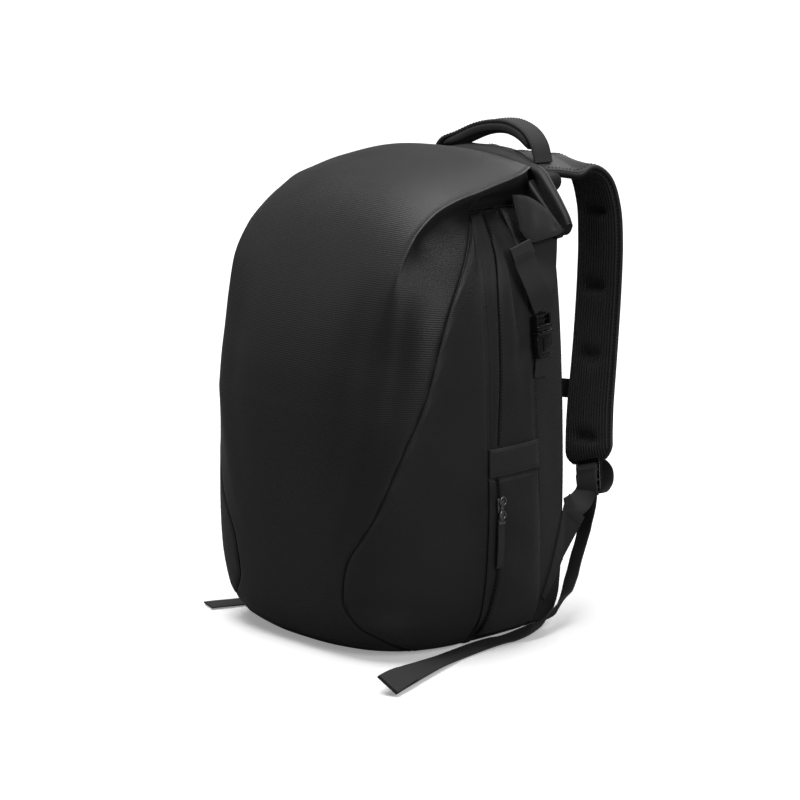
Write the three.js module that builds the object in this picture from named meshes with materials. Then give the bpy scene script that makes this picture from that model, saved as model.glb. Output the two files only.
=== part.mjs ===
// A motorcycle helmet backpack that stands upright on its base.
// Millimetres, +Z up. The front faces -Y and the shoulder straps hang at +Y.
// The origin is the middle of the flat base, on the surface that the bag stands on.

import * as THREE from 'three';

// Main body
const bodyWidth = 320;
const bodyHeight = 475;
const bodyDepth = 280;
const clothThickness = 2;
const frontThickness = 3;
const seamGap = 0.3;
const baseThickness = 3;

// Back panel, yoke and rolled top
const padThickness = 18;
const padEdgeThickness = 2;
const padClearance = 0.6;
const padInset = 2;
const padFullness = 0.86;
const yokeWidth = 190;
const yokeThickness = 34;
const yokeRise = 29;
const yokeSag = 30;
const rollThickness = 20;
const rollDrop = 27;
const rollClearance = 1;
const creaseInset = 9;
const creaseDrop = 14;
const foldClearance = 6;
const hemReach = 0.042;

// Side pockets
const pocketBulge = 7;
const pocketClearance = 0.8;
const hemThickness = 3;

// Shoulder straps
const strapWidth = 57;
const strapThickness = 12;
const strapEdgeShare = 0.45;

// Webbing
const webbingWidth = 25;
const webbingThickness = 1.6;
const chestWebbingWidth = 20;
const chestGap = 0.9;
const chestSlack = 3;
const floorClearance = 0.4;
const anchorStart = 2.5;
const tailStart = 5;
const tailDepth = 3.7;
const rollStrapStart = 2.4;
const rollTailStart = 7;
const rollTailLift = 1.4;
const loopStart = 1.2;
const loopLength = 20;
const loopLift = 2;
const loopInset = 4;

// Haul handle
const handleRise = 53.8;
const gripWidth = 24;
const gripThickness = 11;
const bandThickness = 4;

// Fastenings
const buckleWidth = 27;
const buckleThickness = 9;
const plugLength = 17;
const socketLength = 25;
const lockWidth = 30;
const lockLength = 34;
const lockThickness = 5;
const lockSlot = 5;
const sliderWidth = 9;
const sliderLength = 18;
const sliderThickness = 5;
const pullWidth = 8;
const pullLength = 52;
const pullThickness = 2.4;
const pullLift = 2.6;
const seatGap = 0.3;

// Horizontal sections of the body. Widths are shares of half the body's width,
// reaches and rears of its depth, and heights of its height.
const sections = {
  columns: ['height', 'width', 'reach', 'boxiness', 'rearWidth', 'rear'],
  rows: [
    [0, 0.70, 0.375, 2.6, 0.65, 0.343],
    [0.0105, 0.775, 0.418, 2.8, 0.725, 0.371],
    [0.0316, 0.8375, 0.455, 3.2, 0.77, 0.386],
    [0.08, 0.919, 0.480, 3.6, 0.80, 0.396],
    [0.168, 0.965, 0.493, 3.7, 0.8125, 0.4],
    [0.316, 0.99, 0.500, 3.5, 0.82, 0.4],
    [0.45, 1, 0.5, 3.3, 0.8125, 0.4],
    [0.55, 1, 0.493, 3.35, 0.80, 0.4],
    [0.659, 0.984, 0.464, 3.7, 0.778, 0.4],
    [0.739, 0.956, 0.423, 4.4, 0.753, 0.4],
    [0.8, 0.90, 0.375, 5.4, 0.725, 0.4],
    [0.84, 0.8375, 0.325, 6.2, 0.70, 0.4],
    [0.88, 0.75, 0.26, 7, 0.675, 0.4],
    [0.92, 0.65, 0.18, 7, 0.64, 0.4],
  ],
};

// The seam between the front panel and the side gusset, by the turn in degrees
// round the section from the front middle (0) to the widest line (90).
const frontSeam = {
  columns: ['height', 'turn'],
  rows: [
    [0, 56], [0.027, 48.5], [0.076, 33.3], [0.126, 27.7], [0.179, 28.3], [0.305, 39],
    [0.432, 47.6], [0.554, 55.7], [0.653, 59.6], [0.733, 63.6], [0.789, 69.5], [0.842, 77.5],
    [0.884, 87],
  ],
};

// The upright seams of the side, by their places along the depth.
const sideSeams = {
  columns: ['height', 'gussetBack', 'zipLine', 'backSeam'],
  rows: [
    [0, -0.129, -0.086, 0.180],
    [0.1, -0.129, -0.086, 0.163],
    [0.215, -0.129, -0.086, 0.140],
    [0.37, -0.132, -0.090, 0.118],
    [0.55, -0.143, -0.080, 0.093],
    [0.72, -0.143, -0.072, 0.085],
    [0.82, -0.120, -0.040, 0.082],
    [0.9, -0.066, -0.010, 0.082],
  ],
};

// Rows of the front panel over the crown: its middle line, the crease at its side,
// the height of the side seam that the row ends at and, past the gusset's tip (top 1),
// how deep the row ends on the side panels' top edge.
const crown = {
  columns: ['step', 'middleY', 'middleZ', 'creaseX', 'creaseY', 'creaseZ', 'arch', 'fold', 'seam', 'top', 'topY'],
  rows: [
    [0, -0.570, 0.505, 0.725, -0.525, 0.505, 3.3, 0, 0.505, 0, -0.068],
    [1.4, -0.557, 0.573, 0.725, -0.511, 0.573, 3.4, 0, 0.552, 0, -0.068],
    [2.8, -0.532, 0.642, 0.728, -0.489, 0.640, 3.7, 0, 0.598, 0, -0.068],
    [4.2, -0.496, 0.712, 0.735, -0.468, 0.712, 4.0, 0.15, 0.644, 0, -0.068],
    [5.6, -0.450, 0.777, 0.745, -0.436, 0.783, 4.0, 0.5, 0.690, 0, -0.068],
    [7, -0.396, 0.836, 0.741, -0.375, 0.840, 3.5, 0.8, 0.735, 0, -0.068],
    [8, -0.332, 0.886, 0.722, -0.314, 0.876, 3.0, 1, 0.779, 0, -0.068],
    [9, -0.243, 0.931, 0.719, -0.236, 0.907, 2.7, 1, 0.821, 0, -0.068],
    [10, -0.135, 0.964, 0.745, -0.143, 0.930, 2.6, 1, 0.860, 0, -0.068],
    [11, -0.050, 0.981, 0.758, -0.057, 0.941, 2.6, 1, 0.882, 0, -0.068],
    [12, 0.039, 0.993, 0.762, 0.029, 0.952, 2.6, 1, 0.902, 1, -0.064],
    [13, 0.150, 0.999, 0.741, 0.139, 0.963, 2.6, 1, 0.902, 1, 0.09],
    [14, 0.254, 0.992, 0.641, 0.257, 0.974, 2.6, 1, 0.902, 1, 0.254],
  ],
};

// Places of the soft pieces as shares of half the width, the depth and the height
const places = {
  columns: ['across', 'deep', 'high'],
  strap: [
    [0.400, 0.472, 0.937], [0.419, 0.529, 0.945], [0.450, 0.593, 0.940], [0.487, 0.641, 0.909],
    [0.512, 0.664, 0.859], [0.525, 0.668, 0.789], [0.531, 0.661, 0.705], [0.544, 0.643, 0.611],
    [0.569, 0.614, 0.516], [0.600, 0.582, 0.432], [0.650, 0.550, 0.362], [0.681, 0.536, 0.331],
  ],
  tail: [
    [0.734, 0.493, 0.206], [0.744, 0.468, 0.166], [0.756, 0.436, 0.130], [0.775, 0.400, 0.095],
    [0.825, 0.343, 0.062], [0.867, 0.286, 0.048], [0.884, 0.211, 0.036],
    [0.881, 0.154, 0.021], [0.872, 0.100, 0.0115], [0.853, 0.045, 0.006], [0.850, 0.000, 0.006],
    [0.862, -0.107, 0.005], [0.881, -0.207, 0.004], [0.938, -0.314, 0.007], [1.006, -0.421, 0.012],
    [1.081, -0.525, 0.018], [1.156, -0.629, 0.021], [1.212, -0.711, 0.021],
  ],
  shortTail: [
    [0.734, 0.493, 0.206], [0.744, 0.468, 0.166], [0.756, 0.436, 0.130], [0.775, 0.400, 0.095],
    [0.825, 0.343, 0.062], [0.867, 0.286, 0.048], [0.884, 0.211, 0.036],
    [0.881, 0.154, 0.021], [0.872, 0.100, 0.0115], [0.853, 0.045, 0.006], [0.850, 0.000, 0.006],
    [0.862, -0.107, 0.005], [0.875, -0.207, 0.004], [0.900, -0.300, 0.004], [0.944, -0.386, 0.004],
    [0.988, -0.464, 0.004],
  ],
  lowerWebbing: [[0.756, 0.452, 0.254], [0.764, 0.397, 0.246]],
  rollStrap: [[0.919, 0.168, 0.820], [0.938, 0.157, 0.785], [0.975, 0.138, 0.740]],
  rollTail: [[1.000, 0.088, 0.745], [0.972, 0.050, 0.800], [0.950, 0.030, 0.838]],
  earRoot: [[0.730, 0.314, 0.834], [0.830, 0.136, 0.829], [0.668, 0.329, 0.964], [0.685, 0.243, 0.971]],
  earTip: [[0.975, 0.236, 0.836], [0.988, 0.186, 0.836], [1.006, 0.257, 0.878], [1.025, 0.221, 0.872]],
  earFold: [[0.794, 0.086, 0.876], [0.744, 0.107, 0.930], [0.875, 0.137, 0.825], [1.017, 0.198, 0.862]],
  chest: [0, 0.607, 0.461],
};

// The haul handle's middle line: shares of half the yoke's width, of the depth and of the handle's rise
const band = [
  [-0.832, 0.418, 0.186], [-0.726, 0.421, 0.468], [-0.485, 0.429, 0.689], [-0.2105, 0.438, 0.892],
  [0.052, 0.443, 0.989], [0.295, 0.438, 0.998], [0.547, 0.429, 0.874], [0.738, 0.421, 0.618],
  [0.832, 0.418, 0.19],
];

// Corners of the wing tab by depth and height: on the back seam, then along its free edge
const wingSlope = -0.1;
const wing = { foot: [0.193, 0.080], top: [0.336, 0.269], free: [0.214, 0.072], tip: [0.443, 0.222] };

const halfWidth = bodyWidth / 2;
const widestLine = -bodyDepth / 14;
const yokeMiddle = 0.407;
const pocketFoot = 0.03;
const hemFoot = 0.372;
const hemTop = 0.43;
const sliderHeight = 0.315;
const sliderShare = 0.12;
const buckleHeight = 0.654;
const buckleDepth = 0.125;
const buckleLift = 1;
const chestHeight = 0.467;
const chestBuckleWidth = 26;
const sideTop = 0.9 * bodyHeight;
const padTop = 0.928 * bodyHeight;
const crownFoot = crown.rows[0][crown.columns.indexOf('seam')] * bodyHeight;
const lowLevels = 11;
const crownSteps = crown.rows[crown.rows.length - 1][0];
const degree = Math.PI / 180;
const group = new THREE.Group();

// Value of one column of a table at a place, along a smooth curve without overshoot
function read(table, column, place) {
  const at = table.columns.indexOf(column);
  const rows = table.rows;
  const last = rows.length - 1;
  const clamped = Math.min(Math.max(place, rows[0][0]), rows[last][0]);
  let k = 0;
  while (k < last - 1 && clamped > rows[k + 1][0]) {
    k += 1;
  }
  const rise = (i) => (rows[i + 1][at] - rows[i][at]) / (rows[i + 1][0] - rows[i][0]);
  const slope = (i) => {
    if (i === 0 || i === last) {
      return rise(Math.max(i - 1, 0));
    }
    const before = rise(i - 1);
    const after = rise(i);
    return before * after <= 0 ? 0 : 2 * before * after / (before + after);
  };
  const span = rows[k + 1][0] - rows[k][0];
  const s = (clamped - rows[k][0]) / span;
  const start = rows[k][at] * (1 + 2 * s) * (1 - s) ** 2 + slope(k) * span * s * (1 - s) ** 2;
  const end = rows[k + 1][at] * s * s * (3 - 2 * s) - slope(k + 1) * span * s * s * (1 - s);
  return start + end;
}

function mix(a, b, share) {
  return a + (b - a) * share;
}

// A place given as shares of half the width, the depth and the height
function spot(across, deep, high) {
  return new THREE.Vector3(across * halfWidth, deep * bodyDepth, high * bodyHeight);
}

// The body's outside at a height and a turn: 0 front middle, 90 widest line, 180 rear edge
function wall(z, turn) {
  const high = z / bodyHeight;
  const width = halfWidth * read(sections, 'width', high);
  const reach = bodyDepth * read(sections, 'reach', high);
  const boxiness = read(sections, 'boxiness', high);
  if (turn <= 90) {
    const sine = Math.sin(turn * degree);
    const cosine = Math.cos(turn * degree);
    const stretch = (Math.abs(sine) ** boxiness + Math.abs(cosine) ** boxiness) ** (-1 / boxiness);
    return new THREE.Vector3(width * sine * stretch, widestLine - reach * cosine * stretch, z);
  }
  const rearWidth = halfWidth * read(sections, 'rearWidth', high);
  const back = (turn - 90) / 90;
  const y = widestLine + back * bodyDepth * read(sections, 'rear', high);
  return new THREE.Vector3(width - (width - rearWidth) * back ** 2.2, y, z);
}

// The turn at which the body's side has a given depth
function turnAt(y, z) {
  const high = z / bodyHeight;
  if (y >= widestLine) {
    return 90 + 90 * (y - widestLine) / (bodyDepth * read(sections, 'rear', high));
  }
  const boxiness = read(sections, 'boxiness', high);
  const forward = (widestLine - y) / (bodyDepth * read(sections, 'reach', high));
  return Math.atan2((1 - forward ** boxiness) ** (1 / boxiness), forward) / degree;
}

function side(y, z) {
  return wall(z, turnAt(y, z));
}

// Outward direction of the side wall
function sideNormal(y, z) {
  const step = 2;
  const along = side(y + step, z).sub(side(y - step, z));
  const up = side(y, z + step).sub(side(y, z - step));
  return along.cross(up).normalize();
}

function frontSeamTurn(z) {
  return read(frontSeam, 'turn', z / bodyHeight);
}

function sideSeamTurn(name, z) {
  return turnAt(bodyDepth * read(sideSeams, name, z / bodyHeight), z);
}

// Heights that all the panels of the wall share, so that their seams run side by side
function wallLevels() {
  const levels = [];
  for (let k = 0; k < lowLevels; k += 1) {
    levels.push(mix(seamGap, crownFoot, (k / lowLevels) ** 1.6));
  }
  for (let k = 0; k < crownSteps; k += 1) {
    const height = bodyHeight * read(crown, 'seam', k);
    if (height < sideTop - 2) {
      levels.push(height);
    }
  }
  levels.push(sideTop);
  return levels;
}
const levels = wallLevels();

function levelAt(place) {
  const k = Math.min(Math.floor(place), levels.length - 2);
  return mix(levels[k], levels[k + 1], place - k);
}

// A closed body made by bending a block: place(u, v, t) puts each of its points
function bent(columns, rows, place) {
  const geometry = new THREE.BoxGeometry(1, 1, 1, columns, rows, 1);
  const points = geometry.attributes.position;
  for (let i = 0; i < points.count; i += 1) {
    const u = Math.round((points.getX(i) + 0.5) * columns) / columns;
    const v = Math.round((points.getY(i) + 0.5) * rows) / rows;
    const t = Math.round(points.getZ(i) + 0.5);
    const p = place(u, v, t);
    points.setXYZ(i, p.x, p.y, p.z);
  }
  geometry.deleteAttribute('normal');
  geometry.deleteAttribute('uv');
  return geometry;
}

// A sheet of cloth whose outside is surface(u, v)
function sheet(columns, rows, surface, thickness = clothThickness) {
  const stepU = 0.25 / columns;
  const stepV = 0.25 / rows;
  return bent(columns, rows, (u, v, t) => {
    const p = surface(u, v);
    if (t === 1) {
      return p;
    }
    const along = surface(Math.min(u + stepU, 1), v).sub(surface(Math.max(u - stepU, 0), v));
    const up = surface(u, Math.min(v + stepV, 1)).sub(surface(u, Math.max(v - stepV, 0)));
    return p.addScaledVector(along.cross(up).normalize(), -thickness);
  });
}

// A band along points, each with the direction of its width
function ribbon(points, widthWays, options) {
  const { width, thickness, steps, lanes = 1, edge = 1, end = 1 } = options;
  const path = new THREE.CatmullRomCurve3(points, false, 'centripetal');
  const ways = new THREE.CatmullRomCurve3(widthWays, false, 'centripetal');
  return bent(steps, lanes, (u, v, t) => {
    const tangent = path.getTangent(u);
    const way = ways.getPoint(u);
    way.addScaledVector(tangent, -way.dot(tangent)).normalize();
    const out = tangent.clone().cross(way);
    const round = edge + (1 - edge) * Math.sqrt(1 - (2 * v - 1) ** 4);
    const taper = end + (1 - end) * Math.sqrt(1 - (2 * u - 1) ** 8);
    const p = path.getPoint(u);
    p.addScaledVector(way, (v - 0.5) * width * Math.sqrt(taper));
    return p.addScaledVector(out, (t - 0.5) * thickness * round * taper);
  });
}

// The same piece on the other side of the bag
function mirrored(geometry) {
  const copy = geometry.index ? geometry.toNonIndexed() : geometry.clone();
  const points = copy.attributes.position;
  for (let i = 0; i < points.count; i += 3) {
    const corners = [0, 2, 1].map((k) => new THREE.Vector3().fromBufferAttribute(points, i + k));
    corners.forEach((p, k) => points.setXYZ(i + k, -p.x, p.y, p.z));
  }
  return copy;
}

const finishes = {
  cloth: { color: 0x26262a, roughness: 0.62, metalness: 0 },
  darkCloth: { color: 0x1d1d20, roughness: 0.7, metalness: 0 },
  webbing: { color: 0x18181a, roughness: 0.75, metalness: 0 },
  mesh: { color: 0x222224, roughness: 0.85, metalness: 0 },
  buckle: { color: 0x0c0c0d, roughness: 0.28, metalness: 0 },
  metal: { color: 0x2b2b2d, roughness: 0.35, metalness: 0.8 },
};

function add(name, geometry, finish) {
  const mesh = new THREE.Mesh(geometry, new THREE.MeshStandardMaterial(finishes[finish]));
  mesh.name = name;
  group.add(mesh);
}

function addPair(name, geometry, finish) {
  add(`${name}_right`, geometry, finish);
  add(`${name}_left`, mirrored(geometry), finish);
}

// One row of the front panel over the crown, from its middle (0) by the crease (1) to its seam (2)
function crownPoint(step, s) {
  const value = (name) => read(crown, name, step);
  const middle = spot(0, value('middleY'), value('middleZ'));
  const crease = spot(value('creaseX'), value('creaseY'), value('creaseZ'));
  if (s <= 1) {
    const lift = s ** value('arch');
    return new THREE.Vector3(crease.x * s, mix(middle.y, crease.y, lift), mix(middle.z, crease.z, lift));
  }
  const v = s - 1;
  const fold = value('fold');
  const seamZ = Math.min(value('seam') * bodyHeight, sideTop);
  const seamEnd = frontSeamTurn(seamZ) - seamTurn() * (1 + foldClearance * fold);
  const onSide = side(value('topY') * bodyDepth, sideTop);
  onSide.z += seamGap + clothThickness;
  const seam = wall(seamZ, seamEnd).lerp(onSide, value('top'));
  const above = wall(seamZ + hemReach * bodyHeight, seamEnd).sub(wall(seamZ, seamEnd));
  const inward = new THREE.Vector3(-creaseInset, 0, -creaseDrop).add(crease);
  const rise = above.setLength(0.4 * crease.distanceTo(seam)).add(seam);
  const folded = new THREE.CubicBezierCurve3(crease, inward, rise, seam).getPoint(v);
  if (fold > 0.999) {
    return folded;
  }
  const creaseTurn = turnOf(crease);
  const arc = (share) => wall(mix(crease.z, seamZ, share), mix(creaseTurn, seamEnd, share));
  const start = crease.clone().sub(arc(0)).multiplyScalar((1 - v) ** 2);
  return arc(v).add(start).lerp(folded, fold);
}

function turnOf(p) {
  const high = p.z / bodyHeight;
  const across = p.x / (halfWidth * read(sections, 'width', high));
  const forward = (widestLine - p.y) / (bodyDepth * read(sections, 'reach', high));
  return Math.atan2(across, forward) / degree;
}

// Half a seam's gap, as a turn round the section
function seamTurn() {
  return seamGap / 2 / (halfWidth * degree);
}

function lowPoint(z, s) {
  const seam = frontSeamTurn(z) - seamTurn();
  const crease = Math.min(0.72 * seam, 38);
  const turn = s <= 1 ? s * crease : mix(crease, seam, s - 1);
  return wall(z, turn);
}

function frontPanel() {
  const rows = lowLevels + crownSteps;
  return sheet(28, rows, (u, v) => {
    const s = 2 * Math.abs(2 * u - 1);
    const row = v * rows;
    const p = row < lowLevels ? lowPoint(levelAt(row), s) : crownPoint(row - lowLevels, s);
    p.x *= Math.sign(u - 0.5);
    return p;
  }, frontThickness);
}

// A panel of the side wall between two seams, each a turn for a height
function wallPanel(columns, from, to, lowest = 0, highest = levels.length - 1) {
  const rows = highest - lowest;
  return sheet(columns, rows, (u, v) => {
    const z = levelAt(lowest + v * rows);
    return wall(z, mix(from(z) + seamTurn(), to(z) - seamTurn(), u));
  });
}

function buildBody() {
  add('front_panel', frontPanel(), 'cloth');
  const gussetBack = (z) => sideSeamTurn('gussetBack', z);
  const zipLine = (z) => sideSeamTurn('zipLine', z);
  const backSeam = (z) => sideSeamTurn('backSeam', z);
  addPair('side_gusset', wallPanel(6, frontSeamTurn, gussetBack, 0, levels.length - 2), 'cloth');
  addPair('zip_strip', wallPanel(2, gussetBack, zipLine), 'cloth');
  addPair('side_panel', wallPanel(4, zipLine, backSeam), 'cloth');
  addPair('back_side_panel', wallPanel(4, backSeam, () => 180), 'darkCloth');
  add('base_panel', basePanel(), 'darkCloth');
  add('back_pad', backPad(), 'mesh');
}

function basePanel() {
  const inset = 0.2 * clothThickness;
  const shape = new THREE.Shape();
  const turns = [];
  for (let turn = 0; turn <= 180; turn += 15) {
    turns.push(turn);
  }
  const outline = turns.map((turn) => wall(0, turn)).concat(turns.reverse().map((turn) => {
    const p = wall(0, turn);
    return p.setX(-p.x);
  }));
  const shrink = (p) => new THREE.Vector2(p.x * (1 - 1.4 * inset / halfWidth), widestLine + (p.y - widestLine) * (1 - 2.8 * inset / bodyDepth));
  const points = outline.map(shrink).filter((p, k, all) => k === 0 || p.distanceTo(all[k - 1]) > 0.01);
  shape.setFromPoints(points.slice(0, -1));
  return new THREE.ExtrudeGeometry(shape, { depth: baseThickness, bevelEnabled: false });
}

function backPad() {
  return bent(14, 14, (u, v, t) => {
    const across = 1 - 2 * u;
    const top = shoulderLine(across * read(sections, 'rearWidth', 0.85) * halfWidth);
    const z = mix(floorClearance + 2, top, v);
    const edgeAcross = Math.sqrt(Math.max(0, 1 - Math.abs(across / padFullness) ** 3));
    const edgeUp = Math.sqrt(1 - Math.max(0, 1 - 2 * v) ** 10);
    const rear = wall(Math.min(z, sideTop), 180);
    const thickness = mix(padEdgeThickness, padThickness, edgeAcross * edgeUp);
    return new THREE.Vector3((rear.x - padInset) * across, rear.y + padClearance + t * thickness, z);
  });
}

function along(name) {
  return places[name].map((row) => spot(...row));
}

function ways(...rows) {
  return rows.map((row) => new THREE.Vector3(...row));
}

// Height of the back pad's top edge, which falls away to both shoulders
function shoulderLine(x) {
  return padTop - yokeSag * (2 * x / yokeWidth) ** 2;
}

// Padding over the top of the back, behind the roll
function backYoke() {
  return bent(14, 5, (u, v, t) => {
    const x = (u - 0.5) * yokeWidth;
    const end = 0.55 + 0.45 * Math.sqrt(1 - (2 * u - 1) ** 8);
    const round = 0.6 + 0.4 * Math.sqrt(1 - (2 * v - 1) ** 4);
    const y = yokeMiddle * bodyDepth + (0.5 - t) * yokeThickness * round * end;
    return new THREE.Vector3(x, y, shoulderLine(x) + seatGap + v * yokeRise * end);
  });
}

// The rolled mouth of the bag, between the two ears
function rollTop() {
  const rear = bodyDepth * read(crown, 'topY', crownSteps);
  const y = rear + rollClearance + rollThickness / 2;
  const end = 0.62 * halfWidth;
  const points = [-1, -0.5, 0, 0.5, 1].map((share) => {
    return new THREE.Vector3(share * end, y, sideTop + seatGap + 0.5 * rollDrop + 2 * (1 - share * share));
  });
  const up = points.map(() => new THREE.Vector3(0, 0, 1));
  return ribbon(points, up, { width: rollDrop, thickness: rollThickness, steps: 10, lanes: 5, edge: 0.5 });
}

// A block between two four-cornered ends: rear and front corners below, then above
function wedge(root, tip, columns, rows) {
  const corner = (end, v, t) => {
    const low = end[0].clone().lerp(end[1], t);
    const high = end[2].clone().lerp(end[3], t);
    return low.lerp(high, v);
  };
  return bent(columns, rows, (u, v, t) => corner(root, v, t).lerp(corner(tip, v, t), u));
}

// The light flap of cloth folded in front of the ear
function earFold() {
  const [frontLow, frontHigh, backLow, backHigh] = along('earFold');
  return sheet(4, 3, (u, v) => {
    const low = frontLow.clone().lerp(backLow, u);
    return low.lerp(frontHigh.clone().lerp(backHigh, u), v);
  });
}

// Puts a piece against the side: its x runs to the back, its y up and its z outwards
function againstSide(geometry, y, z, lift) {
  const out = sideNormal(y, z);
  const up = new THREE.Vector3(0, 0, 1).addScaledVector(out, -out.z).normalize();
  const back = up.clone().cross(out);
  const place = new THREE.Matrix4().makeBasis(back, up, out);
  place.setPosition(side(y, z).addScaledVector(out, lift));
  return geometry.applyMatrix4(place);
}

function pocketSwell(u, v) {
  return pocketBulge * (1 - (2 * u - 1) ** 4) * (1 - (2 * v - 1) ** 4);
}

function sidePocket() {
  const low = pocketFoot * bodyHeight;
  const high = hemFoot * bodyHeight - seatGap;
  return bent(6, 8, (u, v, t) => {
    const z = mix(low, high, v ** 1.5);
    const y = mix(seamDepth('gussetBack', z), seamDepth('backSeam', z), u);
    const thickness = clothThickness + pocketSwell(u, v);
    return side(y, z).addScaledVector(sideNormal(y, z), pocketClearance + t * thickness);
  });
}

function pocketHem() {
  const low = hemFoot * bodyHeight;
  const high = hemTop * bodyHeight;
  return bent(4, 1, (u, v, t) => {
    const z = mix(low, high, v);
    const y = mix(seamDepth('gussetBack', z), seamDepth('backSeam', z), u);
    return side(y, z).addScaledVector(sideNormal(y, z), pocketClearance + t * hemThickness);
  });
}

function seamDepth(name, z) {
  return bodyDepth * read(sideSeams, name, z / bodyHeight);
}

// Where the pocket's slider sits: between the gusset's seam and the pocket's middle
function sliderPlace() {
  const z = sliderHeight * bodyHeight;
  const front = seamDepth('gussetBack', z);
  const v = ((z - pocketFoot * bodyHeight) / ((hemFoot - pocketFoot) * bodyHeight)) ** (1 / 1.5);
  const lift = pocketClearance + clothThickness + pocketSwell(sliderShare, v) + seatGap;
  return { y: mix(front, seamDepth('backSeam', z), sliderShare), z, lift };
}

function zipSlider() {
  const { y, z, lift } = sliderPlace();
  const body = new THREE.BoxGeometry(sliderWidth, sliderLength, sliderThickness);
  return againstSide(body, y, z, lift + sliderThickness / 2 + 1);
}

function zipPull() {
  const { y, z, lift } = sliderPlace();
  const body = new THREE.BoxGeometry(pullWidth, pullLength, pullThickness);
  const low = z - sliderLength / 2 - seatGap - pullLength / 2;
  return againstSide(body, y, low, lift + pullThickness / 2 + pullLift);
}

// The triangular tab that anchors the shoulder strap's lower webbing
function wingTab() {
  const corner = (name) => new THREE.Vector2(wing[name][0] * bodyDepth, wing[name][1] * bodyHeight);
  const [foot, top, free, tip] = ['foot', 'top', 'free', 'tip'].map(corner);
  return bent(6, 6, (u, v, t) => {
    const p = foot.clone().lerp(top, v).lerp(free.clone().lerp(tip, v), u);
    const rear = bodyDepth * read(sections, 'rear', p.y / bodyHeight) + widestLine;
    const y = Math.min(p.x, rear);
    const out = sideNormal(y, p.y);
    const past = new THREE.Vector3(wingSlope, 1, 0).multiplyScalar(p.x - y);
    return side(y, p.y).add(past).addScaledVector(out, pocketClearance + t * webbingThickness);
  });
}

function shoulderStrap() {
  const widthWays = ways([-0.9, 0, 0.42], [-0.97, 0, 0.25], [-1, 0, 0], [-1, -0.05, 0], [-1, -0.05, 0], [-1, -0.08, 0], [-1, -0.1, 0]);
  const size = { width: strapWidth, thickness: strapThickness, steps: 26, lanes: 4, edge: strapEdgeShare, end: 0.6 };
  return ribbon(along('strap'), widthWays, size);
}

// Axes of the adjuster at the strap's lower end: across, up along the strap and out
function lockAxes() {
  const points = along('strap');
  const up = points[points.length - 2].clone().sub(points[points.length - 1]).normalize();
  const across = new THREE.Vector3(1, 0.1, 0).addScaledVector(up, -up.x - 0.1 * up.y).normalize();
  return { across, up, out: across.clone().cross(up) };
}

// A point below the adjuster's lower edge, to its side and in front of it
function lockFoot(aside, below, lift) {
  const { across, up, out } = lockAxes();
  const foot = along('strap').pop().addScaledVector(up, -seatGap - lockLength - below);
  return foot.addScaledVector(across, aside).addScaledVector(out, lift);
}

function ladderLock() {
  const { across, up, out } = lockAxes();
  const frame = new THREE.Shape();
  const half = lockWidth / 2;
  const long = lockLength / 2;
  frame.moveTo(-half, -long).lineTo(half, -long).lineTo(half, long).lineTo(-half, long).closePath();
  for (const middle of [-0.6 * long, 0, 0.6 * long]) {
    const slot = new THREE.Path();
    const reach = webbingWidth / 2 + 0.5;
    slot.moveTo(-reach, middle - lockSlot / 2).lineTo(-reach, middle + lockSlot / 2);
    slot.lineTo(reach, middle + lockSlot / 2).lineTo(reach, middle - lockSlot / 2).closePath();
    frame.holes.push(slot);
  }
  const plate = new THREE.ExtrudeGeometry(frame, { depth: lockThickness, bevelEnabled: false });
  const place = new THREE.Matrix4().makeBasis(across, up, out);
  const points = along('strap');
  const middle = points[points.length - 1].addScaledVector(up, -seatGap - long).addScaledVector(out, -lockThickness / 2);
  return plate.applyMatrix4(place.setPosition(middle));
}

function lowerWebbing() {
  const points = [lockFoot(-0.5, anchorStart, webbingThickness), ...along('lowerWebbing')];
  const widthWays = ways([0.95, 0.18, 0.27], [0.6, 0.6, -0.4], [0, 0.7, -0.7]);
  return ribbon(points, widthWays, { width: webbingWidth, thickness: webbingThickness, steps: 10, lanes: 2 });
}

function strapTail(name, widthWays, steps) {
  const points = [lockFoot(-1.7, tailStart, -tailDepth), ...along(name)];
  return ribbon(points, ways(...widthWays), { width: webbingWidth, thickness: webbingThickness, steps });
}

const tailWays = [
  [0.95, 0.18, 0.27], [0.97, -0.25, 0], [0.94, -0.34, 0], [0.93, -0.36, 0], [0.93, -0.36, 0.05],
  [0.88, -0.38, 0.3], [0.6, -0.3, 0.74], [0.75, -0.2, 0.6], [0.95, 0, 0.25], [0.98, 0, 0.1], [0.98, 0, 0.05],
  [0.98, 0, 0.02], [0.98, 0.08, 0], [0.98, 0.15, 0], [0.96, 0.25, -0.02], [0.92, 0.28, -0.12],
  [0.86, 0.3, -0.3], [0.8, 0.32, -0.48], [0.74, 0.32, -0.58],
];
const shortTailWays = tailWays.slice(0, 14).concat([[0.94, 0.3, 0], [0.92, 0.35, 0], [0.9, 0.4, 0]]);

function rollStrap() {
  const points = along('rollStrap').concat(onBuckle(plugLength + rollStrapStart));
  const widthWays = ways([0.6, 0.8, 0.1], [0.4, 0.9, 0.05], [0.1, 1, 0], [0, 1, 0]);
  return ribbon(points, widthWays, { width: webbingWidth, thickness: webbingThickness, steps: 8 });
}

function buckleLoop() {
  const points = [onBuckle(-socketLength - loopStart), onBuckle(-socketLength - loopLength, loopLift)];
  points.splice(1, 0, points[0].clone().lerp(points[1], 0.5));
  return ribbon(points, ways([0, 1, 0], [0, 1, 0]), { width: webbingWidth - loopInset, thickness: webbingThickness, steps: 3 });
}

function rollTail() {
  const start = onBuckle(plugLength + rollTailStart, buckleThickness / 2 + webbingThickness + rollTailLift);
  const widthWays = ways([0, 1, 0], [0.05, 1, 0.1], [0.1, 0.95, 0.25], [0.1, 0.93, 0.3]);
  return ribbon([start, ...along('rollTail')], widthWays, { width: webbingWidth, thickness: webbingThickness, steps: 8 });
}

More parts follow.
